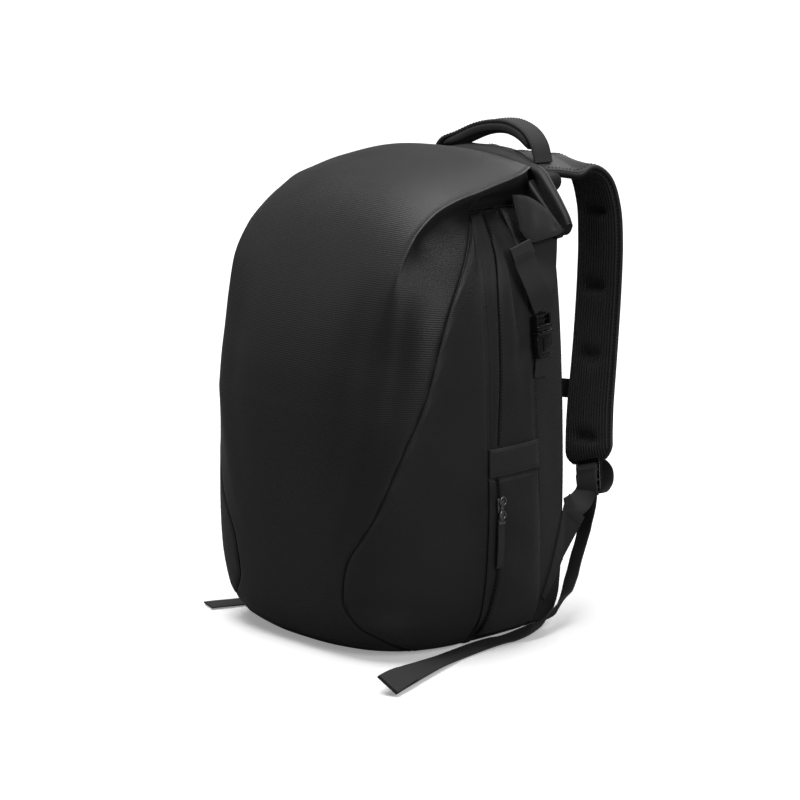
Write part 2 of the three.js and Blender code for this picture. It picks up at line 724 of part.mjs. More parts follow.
function buckleHalf(length, middle) {
  const body = new THREE.BoxGeometry(buckleWidth, length, buckleThickness);
  const lift = clothThickness + buckleLift + buckleThickness / 2;
  return againstSide(body.translate(0, middle, 0), buckleDepth * bodyDepth, buckleHeight * bodyHeight, lift - clothThickness);
}

// A point on the buckle's middle line, above (+) or below (-) the meeting of its halves
function onBuckle(rise, lift = buckleThickness / 2) {
  const y = buckleDepth * bodyDepth;
  const z = buckleHeight * bodyHeight;
  const out = sideNormal(y, z);
  const up = new THREE.Vector3(0, 0, 1).addScaledVector(out, -out.z).normalize();
  return side(y, z).addScaledVector(out, buckleLift + lift).addScaledVector(up, rise);
}

function handleLine() {
  return band.map(([across, deep, rise]) => {
    return new THREE.Vector3(across * yokeWidth / 2, deep * bodyDepth, padTop + rise * handleRise);
  });
}

function haulHandle() {
  const across = band.map(() => new THREE.Vector3(0, 1, 0));
  return ribbon(handleLine(), across, { width: gripWidth, thickness: bandThickness, steps: 20, lanes: 2, edge: 0.6 });
}

// Padding under the middle stretch of the handle
function handleGrip() {
  const path = new THREE.CatmullRomCurve3(handleLine(), false, 'centripetal');
  const drop = bandThickness / 2 + seatGap + gripThickness / 2;
  const points = [0.14, 0.22, 0.32, 0.42, 0.52, 0.62, 0.72, 0.8, 0.86].map((share) => {
    const tangent = path.getPointAt(share + 0.001).sub(path.getPointAt(share - 0.001)).normalize();
    const under = tangent.cross(new THREE.Vector3(0, -1, 0)).normalize();
    return path.getPointAt(share).addScaledVector(under, drop);
  });
  const across = points.map(() => new THREE.Vector3(0, 1, 0));
  return ribbon(points, across, { width: gripWidth - 1, thickness: gripThickness, steps: 16, lanes: 4, edge: 0.4, end: 0.6 });
}

function chestStrap() {
  const path = new THREE.CatmullRomCurve3(along('strap'), false, 'centripetal');
  const height = chestHeight * bodyHeight;
  let u = 0.3;
  while (path.getPoint(u).z > height) {
    u += 0.005;
  }
  const start = path.getPoint(u);
  const end = new THREE.Vector3(chestBuckleWidth / 2 + chestGap, start.y + chestSlack, height - chestSlack);
  const points = [new THREE.Vector3(start.x - strapWidth / 2 - chestGap, start.y, height), end];
  return ribbon([points[0], points[0].clone().lerp(end, 0.5), end], ways([0, 0, 1], [0, 0, 1]), {
    width: chestWebbingWidth, thickness: webbingThickness, steps: 4,
  });
}

function chestBuckle() {
  const body = new THREE.BoxGeometry(chestBuckleWidth, buckleThickness, chestWebbingWidth + 2 * chestSlack);
  const [x, deep, high] = places.chest;
  return body.translate(x, deep * bodyDepth, high * bodyHeight);
}

function buildTop() {
  add('back_yoke', backYoke(), 'darkCloth');
  add('roll_top', rollTop(), 'cloth');
  addPair('ear', wedge(along('earRoot'), along('earTip'), 4, 3), 'cloth');
  addPair('ear_fold', earFold(), 'cloth');
  add('haul_handle', haulHandle(), 'darkCloth');
  add('handle_grip', handleGrip(), 'mesh');
}

function buildPockets() {
  addPair('side_pocket', sidePocket(), 'cloth');
  addPair('pocket_hem', pocketHem(), 'cloth');
  addPair('zip_slider', zipSlider(), 'metal');
  addPair('zip_pull', zipPull(), 'darkCloth');
}

function buildStraps() {
  addPair('shoulder_strap', shoulderStrap(), 'mesh');
  addPair('ladder_lock', ladderLock(), 'buckle');
  addPair('lower_webbing', lowerWebbing(), 'webbing');
  add('strap_tail_right', strapTail('tail', tailWays, 44), 'webbing');
  add('strap_tail_left', mirrored(strapTail('shortTail', shortTailWays, 40)), 'webbing');
  addPair('wing_tab', wingTab(), 'darkCloth');
  addPair('chest_strap', chestStrap(), 'webbing');
  add('chest_buckle', chestBuckle(), 'buckle');
}

function buildRollStraps() {
  addPair('roll_strap', rollStrap(), 'webbing');
  addPair('roll_strap_tail', rollTail(), 'webbing');
  addPair('buckle_plug', buckleHalf(plugLength, plugLength / 2 + seatGap), 'buckle');
  addPair('buckle_socket', buckleHalf(socketLength, -socketLength / 2), 'buckle');
  addPair('buckle_loop', buckleLoop(), 'webbing');
}

buildBody();
buildTop();
buildPockets();
buildStraps();
buildRollStraps();

export default group;
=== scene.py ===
"""Dresses a motorcycle helmet backpack: cloth shells, padding, webbing, zips and buckles.

Metres, +Z up. The front faces -Y, the shoulder straps hang at +Y, and the origin is the
middle of the flat base, on the surface that the bag stands on.
"""

import math

import bmesh
import bpy
import numpy as np
from bpy.props import FloatProperty, FloatVectorProperty, IntProperty, PointerProperty
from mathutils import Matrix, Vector


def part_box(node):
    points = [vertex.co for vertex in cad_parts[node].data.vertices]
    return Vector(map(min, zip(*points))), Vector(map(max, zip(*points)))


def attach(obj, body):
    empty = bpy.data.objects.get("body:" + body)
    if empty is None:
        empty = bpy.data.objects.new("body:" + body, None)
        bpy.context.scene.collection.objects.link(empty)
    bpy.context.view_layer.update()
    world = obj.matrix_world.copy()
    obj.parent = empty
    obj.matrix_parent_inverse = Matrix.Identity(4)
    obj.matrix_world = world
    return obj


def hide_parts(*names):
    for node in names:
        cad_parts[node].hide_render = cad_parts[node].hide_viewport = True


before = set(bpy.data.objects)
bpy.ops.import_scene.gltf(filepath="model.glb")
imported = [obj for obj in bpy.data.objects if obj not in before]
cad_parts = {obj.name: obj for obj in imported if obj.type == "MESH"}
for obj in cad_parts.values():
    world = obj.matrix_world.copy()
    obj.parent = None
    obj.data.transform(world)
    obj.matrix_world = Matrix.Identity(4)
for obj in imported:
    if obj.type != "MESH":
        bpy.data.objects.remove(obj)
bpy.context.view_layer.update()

bl_info = {
    "name": "Helmet Backpack",
    "version": (1, 0, 0),
    "blender": (4, 5, 0),
    "location": "View3D > Sidebar > Backpack",
    "description": "Builds the cloth, padding, webbing and fastenings of a helmet backpack",
    "category": "Add Mesh",
}


# Sizes and colours

def length(name, description, default):
    return FloatProperty(name=name, description=description, default=default, unit="LENGTH")


def shade(name, description, default):
    return FloatVectorProperty(name=name, description=description, default=default, subtype="COLOR",
                               min=0, max=1)


class BackpackSizes(bpy.types.PropertyGroup):
    """Sizes of the bag and of its cloth"""
    body_width: length("Body width", "Across the sides", 0.320)
    body_height: length("Body height", "Base to crown", 0.475)
    body_depth: length("Body depth", "Front to back", 0.280)
    cloth: length("Cloth", "Thickness of the padded cloth", 0.0020)
    seam_depth: length("Seam depth", "How far a sewn edge dips", 0.0014)
    seam_reach: length("Seam reach", "How wide the dip is", 0.0026)
    rib_pitch: length("Rib pitch", "Spacing of the cloth's ribs", 0.0022)
    webbing_width: length("Webbing", "Width of the webbing", 0.025)
    webbing_thickness: length("Webbing thickness", "Of one layer", 0.0016)
    strap_width: length("Strap width", "Of the shoulder straps", 0.057)
    strap_thickness: length("Strap padding", "Thickness", 0.012)
    stitch_pitch: length("Stitch pitch", "From stitch to stitch", 0.0042)
    pad_steps: IntProperty(name="Cloth frames", description="Frames of the padding's simulation",
                           default=20)


class BackpackColours(bpy.types.PropertyGroup):
    """Colours of the bag's materials"""
    cloth: shade("Shell cloth", "Coated ribbed cloth", (0.0165, 0.0160, 0.0168))
    dark_cloth: shade("Dark cloth", "Plain coated cloth", (0.0150, 0.0150, 0.0158))
    mesh: shade("Spacer mesh", "Padding's mesh", (0.0105, 0.0105, 0.0110))
    webbing: shade("Webbing", "Woven straps", (0.0095, 0.0095, 0.0100))
    plastic: shade("Plastic", "Buckles", (0.0028, 0.0028, 0.0030))
    metal: shade("Slider", "Zip sliders", (0.160, 0.160, 0.165))


def sizes():
    return bpy.context.scene.backpack_sizes


def colours():
    return bpy.context.scene.backpack_colours


# Tables of the body

class Table:
    """Named columns over one running number, read along a smooth curve without overshoot"""

    def __init__(self, columns, rows):
        self.at = {name: k for k, name in enumerate(columns)}
        self.rows = rows
        self.places = [row[0] for row in rows]
        self.slopes = {}

    def _slopes(self, column):
        if column not in self.slopes:
            k = self.at[column]
            value = [row[k] for row in self.rows]
            last = len(value) - 1
            rise = [(value[i + 1] - value[i]) / (self.places[i + 1] - self.places[i]) for i in range(last)]
            slope = [rise[0]]
            for before, after in zip(rise, rise[1:]):
                slope.append(0 if before * after <= 0 else 2 * before * after / (before + after))
            slope.append(rise[-1])
            self.slopes[column] = (value, slope)
        return self.slopes[column]

    def read(self, column, place):
        value, slope = self._slopes(column)
        places = self.places
        place = min(max(place, places[0]), places[-1])
        k = 0
        while k < len(places) - 2 and place > places[k + 1]:
            k += 1
        span = places[k + 1] - places[k]
        s = (place - places[k]) / span
        start = value[k] * (1 + 2 * s) * (1 - s) ** 2 + slope[k] * span * s * (1 - s) ** 2
        return start + value[k + 1] * s * s * (3 - 2 * s) - slope[k + 1] * span * s * s * (1 - s)


SECTIONS = Table(("height", "width", "reach", "boxiness", "rear_width", "rear"), [
    (0, 0.70, 0.375, 2.6, 0.65, 0.343), (0.0105, 0.775, 0.418, 2.8, 0.725, 0.371),
    (0.0316, 0.8375, 0.455, 3.2, 0.77, 0.386), (0.08, 0.919, 0.480, 3.6, 0.80, 0.396),
    (0.168, 0.965, 0.493, 3.7, 0.8125, 0.4), (0.316, 0.99, 0.500, 3.5, 0.82, 0.4),
    (0.45, 1, 0.5, 3.3, 0.8125, 0.4), (0.55, 1, 0.493, 3.35, 0.80, 0.4),
    (0.659, 0.984, 0.464, 3.7, 0.778, 0.4), (0.739, 0.956, 0.423, 4.4, 0.753, 0.4),
    (0.8, 0.90, 0.375, 5.4, 0.725, 0.4), (0.84, 0.8375, 0.325, 6.2, 0.70, 0.4),
    (0.88, 0.75, 0.26, 7, 0.675, 0.4), (0.92, 0.65, 0.18, 7, 0.64, 0.4),
])

FRONT_SEAM = Table(("height", "turn"), [
    (0, 56), (0.027, 48.5), (0.076, 33.3), (0.126, 27.7), (0.179, 28.3), (0.305, 39), (0.432, 47.6),
    (0.554, 55.7), (0.653, 59.6), (0.733, 63.6), (0.789, 69.5), (0.842, 77.5), (0.884, 87),
])

SIDE_SEAMS = Table(("height", "gusset_back", "zip_line", "back_seam"), [
    (0, -0.129, -0.086, 0.180), (0.1, -0.129, -0.086, 0.163), (0.215, -0.129, -0.086, 0.140),
    (0.37, -0.132, -0.090, 0.118), (0.55, -0.143, -0.080, 0.093), (0.72, -0.143, -0.072, 0.085),
    (0.82, -0.120, -0.040, 0.082), (0.9, -0.066, -0.010, 0.082),
])

CROWN = Table(
    ("step", "middle_y", "middle_z", "crease_x", "crease_y", "crease_z", "arch", "fold", "seam",
     "top", "top_y"), [
        (0, -0.570, 0.505, 0.725, -0.525, 0.505, 3.3, 0, 0.505, 0, -0.068),
        (1.4, -0.557, 0.573, 0.725, -0.511, 0.573, 3.4, 0, 0.552, 0, -0.068),
        (2.8, -0.532, 0.642, 0.728, -0.489, 0.640, 3.7, 0, 0.598, 0, -0.068),
        (4.2, -0.496, 0.712, 0.735, -0.468, 0.712, 4.0, 0.15, 0.644, 0, -0.068),
        (5.6, -0.450, 0.777, 0.745, -0.436, 0.783, 4.0, 0.5, 0.690, 0, -0.068),
        (7, -0.396, 0.836, 0.741, -0.375, 0.840, 3.5, 0.8, 0.735, 0, -0.068),
        (8, -0.332, 0.886, 0.722, -0.314, 0.876, 3.0, 1, 0.779, 0, -0.068),
        (9, -0.243, 0.931, 0.719, -0.236, 0.907, 2.7, 1, 0.821, 0, -0.068),
        (10, -0.135, 0.964, 0.745, -0.143, 0.930, 2.6, 1, 0.860, 0, -0.068),
        (11, -0.050, 0.981, 0.758, -0.057, 0.941, 2.6, 1, 0.882, 0, -0.068),
        (12, 0.039, 0.993, 0.762, 0.029, 0.952, 2.6, 1, 0.902, 1, -0.064),
        (13, 0.150, 0.999, 0.741, 0.139, 0.963, 2.6, 1, 0.902, 1, 0.09),
        (14, 0.254, 0.992, 0.641, 0.257, 0.974, 2.6, 1, 0.902, 1, 0.254),
    ])

# Places as shares of half the width, the depth and the height
PLACES = {
    "strap": [
        (0.400, 0.472, 0.940), (0.419, 0.529, 0.950), (0.450, 0.593, 0.948), (0.487, 0.641, 0.919),
        (0.512, 0.664, 0.864), (0.525, 0.668, 0.789), (0.531, 0.661, 0.705), (0.544, 0.643, 0.611),
        (0.569, 0.614, 0.516), (0.600, 0.582, 0.432), (0.650, 0.550, 0.362), (0.681, 0.536, 0.331)],
    "tail": [
        (0.745, 0.513, 0.2515), (0.734, 0.493, 0.206), (0.744, 0.468, 0.166), (0.756, 0.436, 0.130),
        (0.775, 0.400, 0.095), (0.825, 0.343, 0.062), (0.867, 0.286, 0.048), (0.884, 0.211, 0.036),
        (0.881, 0.154, 0.021), (0.872, 0.100, 0.0115), (0.853, 0.045, 0.006), (0.850, 0.000, 0.006),
        (0.862, -0.107, 0.005), (0.881, -0.207, 0.004), (0.938, -0.314, 0.007), (1.006, -0.421, 0.012),
        (1.081, -0.525, 0.018), (1.156, -0.629, 0.021), (1.212, -0.711, 0.021)],
    "short_tail": [(0.900, -0.300, 0.004), (0.944, -0.386, 0.004), (0.988, -0.464, 0.004)],
    "lower_webbing": [(0.750, 0.498, 0.2605), (0.756, 0.452, 0.254), (0.764, 0.397, 0.246)],
    "roll_strap": [(0.919, 0.168, 0.820), (0.938, 0.157, 0.785), (0.975, 0.138, 0.740)],
    "roll_tail": [(1.000, 0.088, 0.745), (0.972, 0.050, 0.800), (0.950, 0.030, 0.838)],
    "band": [
        (-0.462, 0.418, 0.966), (-0.412, 0.421, 0.988), (-0.288, 0.429, 1.006), (-0.125, 0.438, 1.029),
        (0.031, 0.443, 1.040), (0.175, 0.438, 1.041), (0.325, 0.429, 1.027), (0.415, 0.421, 1.003),
        (0.462, 0.418, 0.966)],
}

TAIL_WAYS = [
    (0.95, 0.18, 0.27), (0.97, -0.25, 0), (0.94, -0.34, 0), (0.93, -0.36, 0), (0.93, -0.36, 0.05),
    (0.88, -0.38, 0.3), (0.6, -0.3, 0.74), (0.75, -0.2, 0.6), (0.95, 0, 0.25), (0.98, 0, 0.1),
    (0.98, 0, 0.05), (0.98, 0, 0.02), (0.98, 0.08, 0), (0.98, 0.15, 0), (0.96, 0.25, -0.02),
    (0.92, 0.28, -0.12), (0.86, 0.3, -0.3), (0.8, 0.32, -0.48), (0.74, 0.32, -0.58),
]

# The wing tab's corners, as shares of the depth and the height
WING = {"foot": (0.193, 0.080), "top": (0.336, 0.269), "free": (0.214, 0.072), "tip": (0.443, 0.222)}
WING_SLOPE = -0.1
# Rows of the front below its crown and over it, and rows of the side panels
LOW_LEVELS, CROWN_STEPS, SIDE_ROWS = 11, 14, 23
# Heights as shares of the body's, and the buckle's place in depth
SIDE_TOP, PAD_TOP = 0.9, 0.928
POCKET_FOOT, HEM_FOOT, HEM_TOP = 0.03, 0.372, 0.43
BUCKLE_HEIGHT, BUCKLE_DEPTH = 0.654, 0.125
# Metres
SEAM_GAP = 0.0002
BUCKLE_LIFT = 0.0045
STITCH_LENGTH, STITCH_RADIUS = 0.0026, 0.00032
ZIP_PITCH, ZIP_HALF = 0.0017, 0.0021
WEAR_REACH, BAR_WEAR_REACH = 0.0035, 0.0025
THIN_CLOTH, HEM_THICKNESS = 0.0018, 0.003
POUCH_THICKNESS, POUCH_SWELL = 0.0026, 0.0072
YOKE_HALF = 0.0945
# Width and thickness of bars, in metres
MOUTH_ROLL, EAR_ROLL, YOKE = (0.0268, 0.0196), (0.0240, 0.0135), (0.0325, 0.0280)
HANDLE, GRIP, PULL = (0.0238, 0.0038), (0.0254, 0.0136), (0.0078, 0.0022)

UP, SIDEWAYS, BACK = Vector((0, 0, 1)), Vector((1, 0, 0)), Vector((0, 1, 0))


def mix(a, b, share):
    """The value at a share of the way from a to b"""
    return a + (b - a) * share


def spot(across, deep, high):
    """A place given as shares of half the width, the depth and the height"""
    s = sizes()
    return Vector((across * s.body_width / 2, deep * s.body_depth, high * s.body_height))


def along(name):
    """The places of one row of the table"""
    return [spot(*row) for row in PLACES[name]]


def widest_line():
    """Where in depth the body is widest"""
    return -sizes().body_depth / 14


def wall(z, turn):
    """The body's outside at a height and a turn: 0 front middle, 90 widest line, 180 rear edge"""
    s = sizes()
    high = z / s.body_height
    width = s.body_width / 2 * SECTIONS.read("width", high)
    if turn <= 90:
        power = SECTIONS.read("boxiness", high)
        reach = s.body_depth * SECTIONS.read("reach", high)
        sine, cosine = math.sin(math.radians(turn)), math.cos(math.radians(turn))
        stretch = (abs(sine) ** power + abs(cosine) ** power) ** (-1 / power)
        return Vector((width * sine * stretch, widest_line() - reach * cosine * stretch, z))
    rear_width = s.body_width / 2 * SECTIONS.read("rear_width", high)
    back = (turn - 90) / 90
    y = widest_line() + back * s.body_depth * SECTIONS.read("rear", high)
    return Vector((width - (width - rear_width) * back ** 2.2, y, z))


def turn_at(y, z):
    """The turn at which the side wall has a given depth"""
    s = sizes()
    high = z / s.body_height
    if y >= widest_line():
        return 90 + 90 * (y - widest_line()) / (s.body_depth * SECTIONS.read("rear", high))
    power = SECTIONS.read("boxiness", high)
    forward = (widest_line() - y) / (s.body_depth * SECTIONS.read("reach", high))
    return math.degrees(math.atan2((1 - forward ** power) ** (1 / power), forward))


def side(y, z):
    """The place on the side wall at a depth and a height"""
    return wall(z, turn_at(y, z))


def side_normal(y, z):
    """The side wall's outward direction, from places a little way around"""
    step = 0.002
    back = side(y + step, z) - side(y - step, z)
    up = side(y, z + step) - side(y, z - step)
    return back.cross(up).normalized()


def side_axes(y, z):
    """(back, up, out) on the side wall"""
    out = side_normal(y, z)
    up = (UP - out * out.z).normalized()
    return up.cross(out), up, out


def placer(middle, axes):
    """A function for places on three axes about a middle"""
    return lambda x, y, z: middle + axes[0] * x + axes[1] * y + axes[2] * z


def front_seam(z):
    """The turn at which the front ends and the gusset begins"""
    return FRONT_SEAM.read("turn", z / sizes().body_height)


def seam_depth_at(name, z):
    """How deep a seam of the side lies at a height"""
    s = sizes()
    return s.body_depth * SIDE_SEAMS.read(name, z / s.body_height)


def side_seam(name):
    """A seam of the side as a turn for each height"""
    return lambda z: turn_at(seam_depth_at(name, z), z)


def seam_turn():
    """Half the gap between two panels, as a turn"""
    return math.degrees(SEAM_GAP / sizes().body_width)


def height_at(row):
    """Height of a row of the side panels, which the front panel's rows meet at the seam"""
    s = sizes()
    foot = CROWN.rows[0][CROWN.at["seam"]] * s.body_height
    if row < LOW_LEVELS:
        return mix(0.0003, foot, (row / LOW_LEVELS) ** 1.6)
    return min(s.body_height * CROWN.read("seam", row - LOW_LEVELS), SIDE_TOP * s.body_height)


def bezier(a, b, c, d, t):
    """A place on a cubic curve"""
    return a * (1 - t) ** 3 + b * 3 * t * (1 - t) ** 2 + c * 3 * t * t * (1 - t) + d * t ** 3


def crown_point(step, s):
    """The front panel over the crown, from its middle (0) by the crease (1) to its side seam (2)"""
    half, deep, high = sizes().body_width / 2, sizes().body_depth, sizes().body_height
    value = lambda name: CROWN.read(name, step)
    middle = spot(0, value("middle_y"), value("middle_z"))
    crease = spot(value("crease_x"), value("crease_y"), value("crease_z"))
    if s <= 1:
        lift = s ** value("arch")
        return Vector((crease.x * s, mix(middle.y, crease.y, lift), mix(middle.z, crease.z, lift)))
    v = s - 1
    fold = value("fold")
    seam_z = min(value("seam") * high, SIDE_TOP * high)
    seam_end = front_seam(seam_z) - seam_turn() * (1 + 4 * fold)
    on_side = side(value("top_y") * deep, SIDE_TOP * high) + Vector((0, 0, 0.0023))
    seam = wall(seam_z, seam_end).lerp(on_side, value("top"))
    above = wall(seam_z + 0.02, seam_end) - wall(seam_z, seam_end)
    inward = crease + Vector((-0.009, 0, -0.014))
    rise = seam + above.normalized() * 0.4 * (crease - seam).length
    folded = bezier(crease, inward, rise, seam, v)
    if fold > 0.999:
        return folded
    share = crease.z / high
    crease_turn = math.degrees(math.atan2(
        crease.x / (half * SECTIONS.read("width", share)),
        (widest_line() - crease.y) / (deep * SECTIONS.read("reach", share))))
    arc = lambda t: wall(mix(crease.z, seam_z, t), mix(crease_turn, seam_end, t))
    return (arc(v) + (crease - arc(0)) * (1 - v) ** 2).lerp(folded, fold)


def low_point(z, s):
    """The front panel below its crown, by the same shares"""
    seam = front_seam(z) - seam_turn()
    crease = min(0.72 * seam, 38)
    return wall(z, s * crease if s <= 1 else mix(crease, seam, s - 1))


def below_crown(row, s):
    """The low front, eased into the foot of the crown over its last rows"""
    easing = 5
    share = min(max((row - LOW_LEVELS + easing) / easing, 0), 1)
    share = share * share * (3 - 2 * share)
    offset = crown_point(0, s) - low_point(height_at(LOW_LEVELS), s)
    return low_point(height_at(row), s) + offset * share


# Mesh makers

def clear_selection():
    """Leaves edit mode and selects nothing"""
    if bpy.context.object and bpy.context.object.mode != "OBJECT":
        bpy.ops.object.mode_set(mode="OBJECT")
    bpy.ops.object.select_all(action="DESELECT")


def choose(obj):
    """Selects one object and makes it the active one"""
    clear_selection()
    obj.select_set(True)
    bpy.context.view_layer.objects.active = obj


def make_object(name, verts, faces, uvs=None, edge=None, smooth=40):
    """A mesh object with its places in its mesh, a UV map in metres and an edge mask"""
    mesh = bpy.data.meshes.new(name)
    mesh.from_pydata([tuple(v) for v in verts], [], faces)
    if uvs is not None:
        layer = mesh.uv_layers.new(name="cloth")
        index = np.empty(len(mesh.loops), dtype=np.int32)
        mesh.loops.foreach_get("vertex_index", index)
        layer.data.foreach_set("uv", np.asarray(uvs, dtype=np.float32)[index].ravel())
    mask = mesh.attributes.new("edge", "FLOAT", "POINT")
    values = np.zeros(len(verts), dtype=np.float32) if edge is None else np.asarray(edge, dtype=np.float32)
    mask.data.foreach_set("value", values)
    obj = bpy.data.objects.new(name, mesh)
    bpy.context.collection.objects.link(obj)
    choose(obj)
    bpy.ops.object.shade_smooth_by_angle(angle=math.radians(smooth))
    return obj


def clustered(count, *knots):
    """Shares from 0 to 1 that crowd together at both ends and at the knots"""
    stops = [0, *knots, 1]
    values = []
    for a, b in zip(stops, stops[1:]):
        part = max(int(count * (b - a)), 4)
        values += [mix(a, b, 0.5 - 0.5 * math.cos(math.pi * k / part)) for k in range(part)]
    return values + [1.0]


def grid(us, vs, place):
    """An array of place(u, v), a row for each v"""
    return np.array([[tuple(place(u, v)) for u in us] for v in vs])


def normals_of(points):
    """Outward directions of a grid of points"""
    du = np.gradient(points, axis=1)
    dv = np.gradient(points, axis=0)
    n = np.cross(du, dv)
    return n / np.maximum(np.linalg.norm(n, axis=2, keepdims=True), 1e-12)


def lengths_along(points, axis):
    """How far each point of a grid lies along its row (1) or column (0)"""
    step = np.linalg.norm(np.diff(points, axis=axis), axis=2)
    pad = [(0, 0), (0, 0)]
    pad[axis] = (1, 0)
    return np.cumsum(np.pad(step, pad), axis=axis)


def mark_painted_shade(obj, shares):
    """Painted shade: how far each point is darkened, from 0 to 1, where shade falls"""
    layer = obj.data.attributes.new("lining", "FLOAT", "POINT")
    layer.data.foreach_set("value", np.asarray(shares, dtype=np.float32).ravel())


def shell(name, points, thickness=None, relief=None, lining=None, dip=1.0, from_middle=False, level_row=0):
    """A sheet of padded cloth with a given outside, its sewn edges turned in"""
    s = sizes()
    thickness = thickness or s.cloth
    rows, columns = points.shape[:2]
    across, up = lengths_along(points, 1), lengths_along(points, 0)
    edge = np.minimum.reduce([across, across[:, -1:] - across, up, up[-1:] - up])
    n = normals_of(points)
    lift = -dip * s.seam_depth * np.exp(-(edge / s.seam_reach) ** 2)
    if relief is not None:
        lift = lift + relief(points, across, up)
    outer = points + n * lift[..., None]
    inner = points - n * thickness + n * np.minimum(lift, 0)[..., None] * 0.5
    verts = np.concatenate([outer.reshape(-1, 3), inner.reshape(-1, 3)])

    middle = columns // 2
    uv_u = across - across[:, middle: middle + 1] if from_middle else across
    uv_v = up - up[level_row: level_row + 1] + points[level_row, middle, 2]
    uvs = np.stack([uv_u, uv_v], axis=-1).reshape(-1, 2)
    mask = np.exp(-edge / WEAR_REACH).ravel()

    total = rows * columns
    index = np.arange(total).reshape(rows, columns)
    a, b, c, d = index[:-1, :-1], index[:-1, 1:], index[1:, 1:], index[1:, :-1]
    faces = np.stack([np.stack([a, b, c, d], axis=-1), np.stack([a, d, c, b], axis=-1) + total], axis=2)
    rim = np.concatenate([index[0], index[1:, -1], index[-1, -2::-1], index[-2:0:-1, 0]])
    onward = np.roll(rim, -1)
    walls = np.stack([onward, rim, rim + total, onward + total], axis=-1)
    faces = np.concatenate([faces.reshape(-1, 4), walls]).tolist()
    obj = make_object(name, verts, faces, np.concatenate([uvs, uvs]), np.concatenate([mask, mask]))
    # Painted shade: darkens the cloth's colour where shade falls
    if lining is not None:
        shares = np.broadcast_to(lining(points, across, up), (rows, columns)).ravel()
        mark_painted_shade(obj, np.concatenate([shares, shares]))
    return obj


def smooth_path(points, count):
    """Points spaced evenly along a centripetal spline"""
    p = [Vector(q) for q in points]
    p = [p[0] * 2 - p[1], *p, p[-1] * 2 - p[-2]]
    out = []
    last = len(points) - 1
    for k in range(count + 1):
        t = min(k / count * last, last - 1e-9)
        i = int(t)
        a, b, c, d = p[i: i + 4]
        t -= i
        ka = max((b - a).length, 1e-6) ** 0.5
        kb = max((c - b).length, 1e-6) ** 0.5
        kc = max((d - c).length, 1e-6) ** 0.5
        m0 = ((b - a) / ka - (c - a) / (ka + kb) + (c - b) / kb) * kb
        m1 = ((c - b) / kb - (d - b) / (kb + kc) + (d - c) / kc) * kb
        t2, t3 = t * t, t * t * t
        out.append(b * (2 * t3 - 3 * t2 + 1) + m0 * (t3 - 2 * t2 + t)
                   + c * (3 * t2 - 2 * t3) + m1 * (t3 - t2))
    return out


def frames_of(points, ways):
    """(point, tangent, width way, outward way) along a path"""
    out = []
    for k, p in enumerate(points):
        tangent = (points[min(k + 1, len(points) - 1)] - points[max(k - 1, 0)]).normalized()
        way = ways[k] - tangent * ways[k].dot(tangent)
        way.normalize()
        out.append((p, tangent, way, tangent.cross(way)))
    return out


def sweep(name, points, ways, width, thickness, ring=20, power=2.0, shape=None):
    """A closed bar along points; its section is a rounded box, which shape(share) may scale
    across and in thickness, and lift"""
    stations = frames_of(points, ways)
    verts, uvs, edge = [], [], []
    run = 0.0
    for k, (p, _, way, out) in enumerate(stations):
        if k:
            run += (p - stations[k - 1][0]).length
        across, thick, lift = shape(k / (len(stations) - 1)) if shape else (1, 1, 0)
        for i in range(ring):
            angle = 2 * math.pi * i / ring
            c, s = math.cos(angle), math.sin(angle)
            x = math.copysign(abs(c) ** (2 / power), c) * width / 2 * across
            z = math.copysign(abs(s) ** (2 / power), s) * thickness / 2 * thick + lift
            verts.append(p + way * x + out * z)
            uvs.append((x, run))
            edge.append(math.exp(-(width / 2 * across - abs(x)) / BAR_WEAR_REACH))
    faces = []
    rows = len(stations)
    for k in range(rows - 1):
        for i in range(ring):
            a, b = k * ring + i, k * ring + (i + 1) % ring
            faces.append((a, b, b + ring, a + ring))
    faces.append(tuple(range(ring - 1, -1, -1)))
    faces.append(tuple((rows - 1) * ring + i for i in range(ring)))
    return make_solid(name, verts, faces, uvs, edge, smooth=50)


def make_solid(name, verts, faces, uvs=None, edge=None, smooth=40):
    obj = make_object(name, verts, faces, uvs, edge, smooth)
    face_outwards(obj)
    return obj


def face_outwards(obj):
    """Turns the normals of closed meshes outwards"""
    bm = bmesh.new()
    bm.from_mesh(obj.data)
    bmesh.ops.recalc_face_normals(bm, faces=bm.faces)
    bm.to_mesh(obj.data)
    bm.free()


def blended(rows, count):
    """The width ways between the given ones"""
    return [v.normalized() for v in smooth_path([Vector(r) for r in rows], count)]


def ribbon(name, points, ways, count, width, thickness, **options):
    """A bar along a smooth path through a few points"""
    return sweep(name, smooth_path(points, count), blended(ways, count), width, thickness, **options)


def tube(name, path, radius, ring=8):
    """A round cord along a path"""
    ways = []
    way = UP
    for k in range(len(path)):
        tangent = (path[min(k + 1, len(path) - 1)] - path[max(k - 1, 0)]).normalized()
        way = way - tangent * way.dot(tangent)
        if way.length < 1e-4:
            way = tangent.orthogonal()
        way = way.normalized()
        ways.append(way)
    return sweep(name, path, ways, radius * 2, radius * 2, ring=ring)


def paced(points, pitch, first):
    """(segment, share of it, place, tangent) at each pitch along a line"""
    run, need = 0.0, first
    for k in range(1, len(points)):
        a, b = points[k - 1], points[k]
        span = (b - a).length
        while span > 0 and run + span >= need:
            share = (need - run) / span
            yield k, share, a.lerp(b, share), (b - a).normalized()
            need += pitch
        run += span


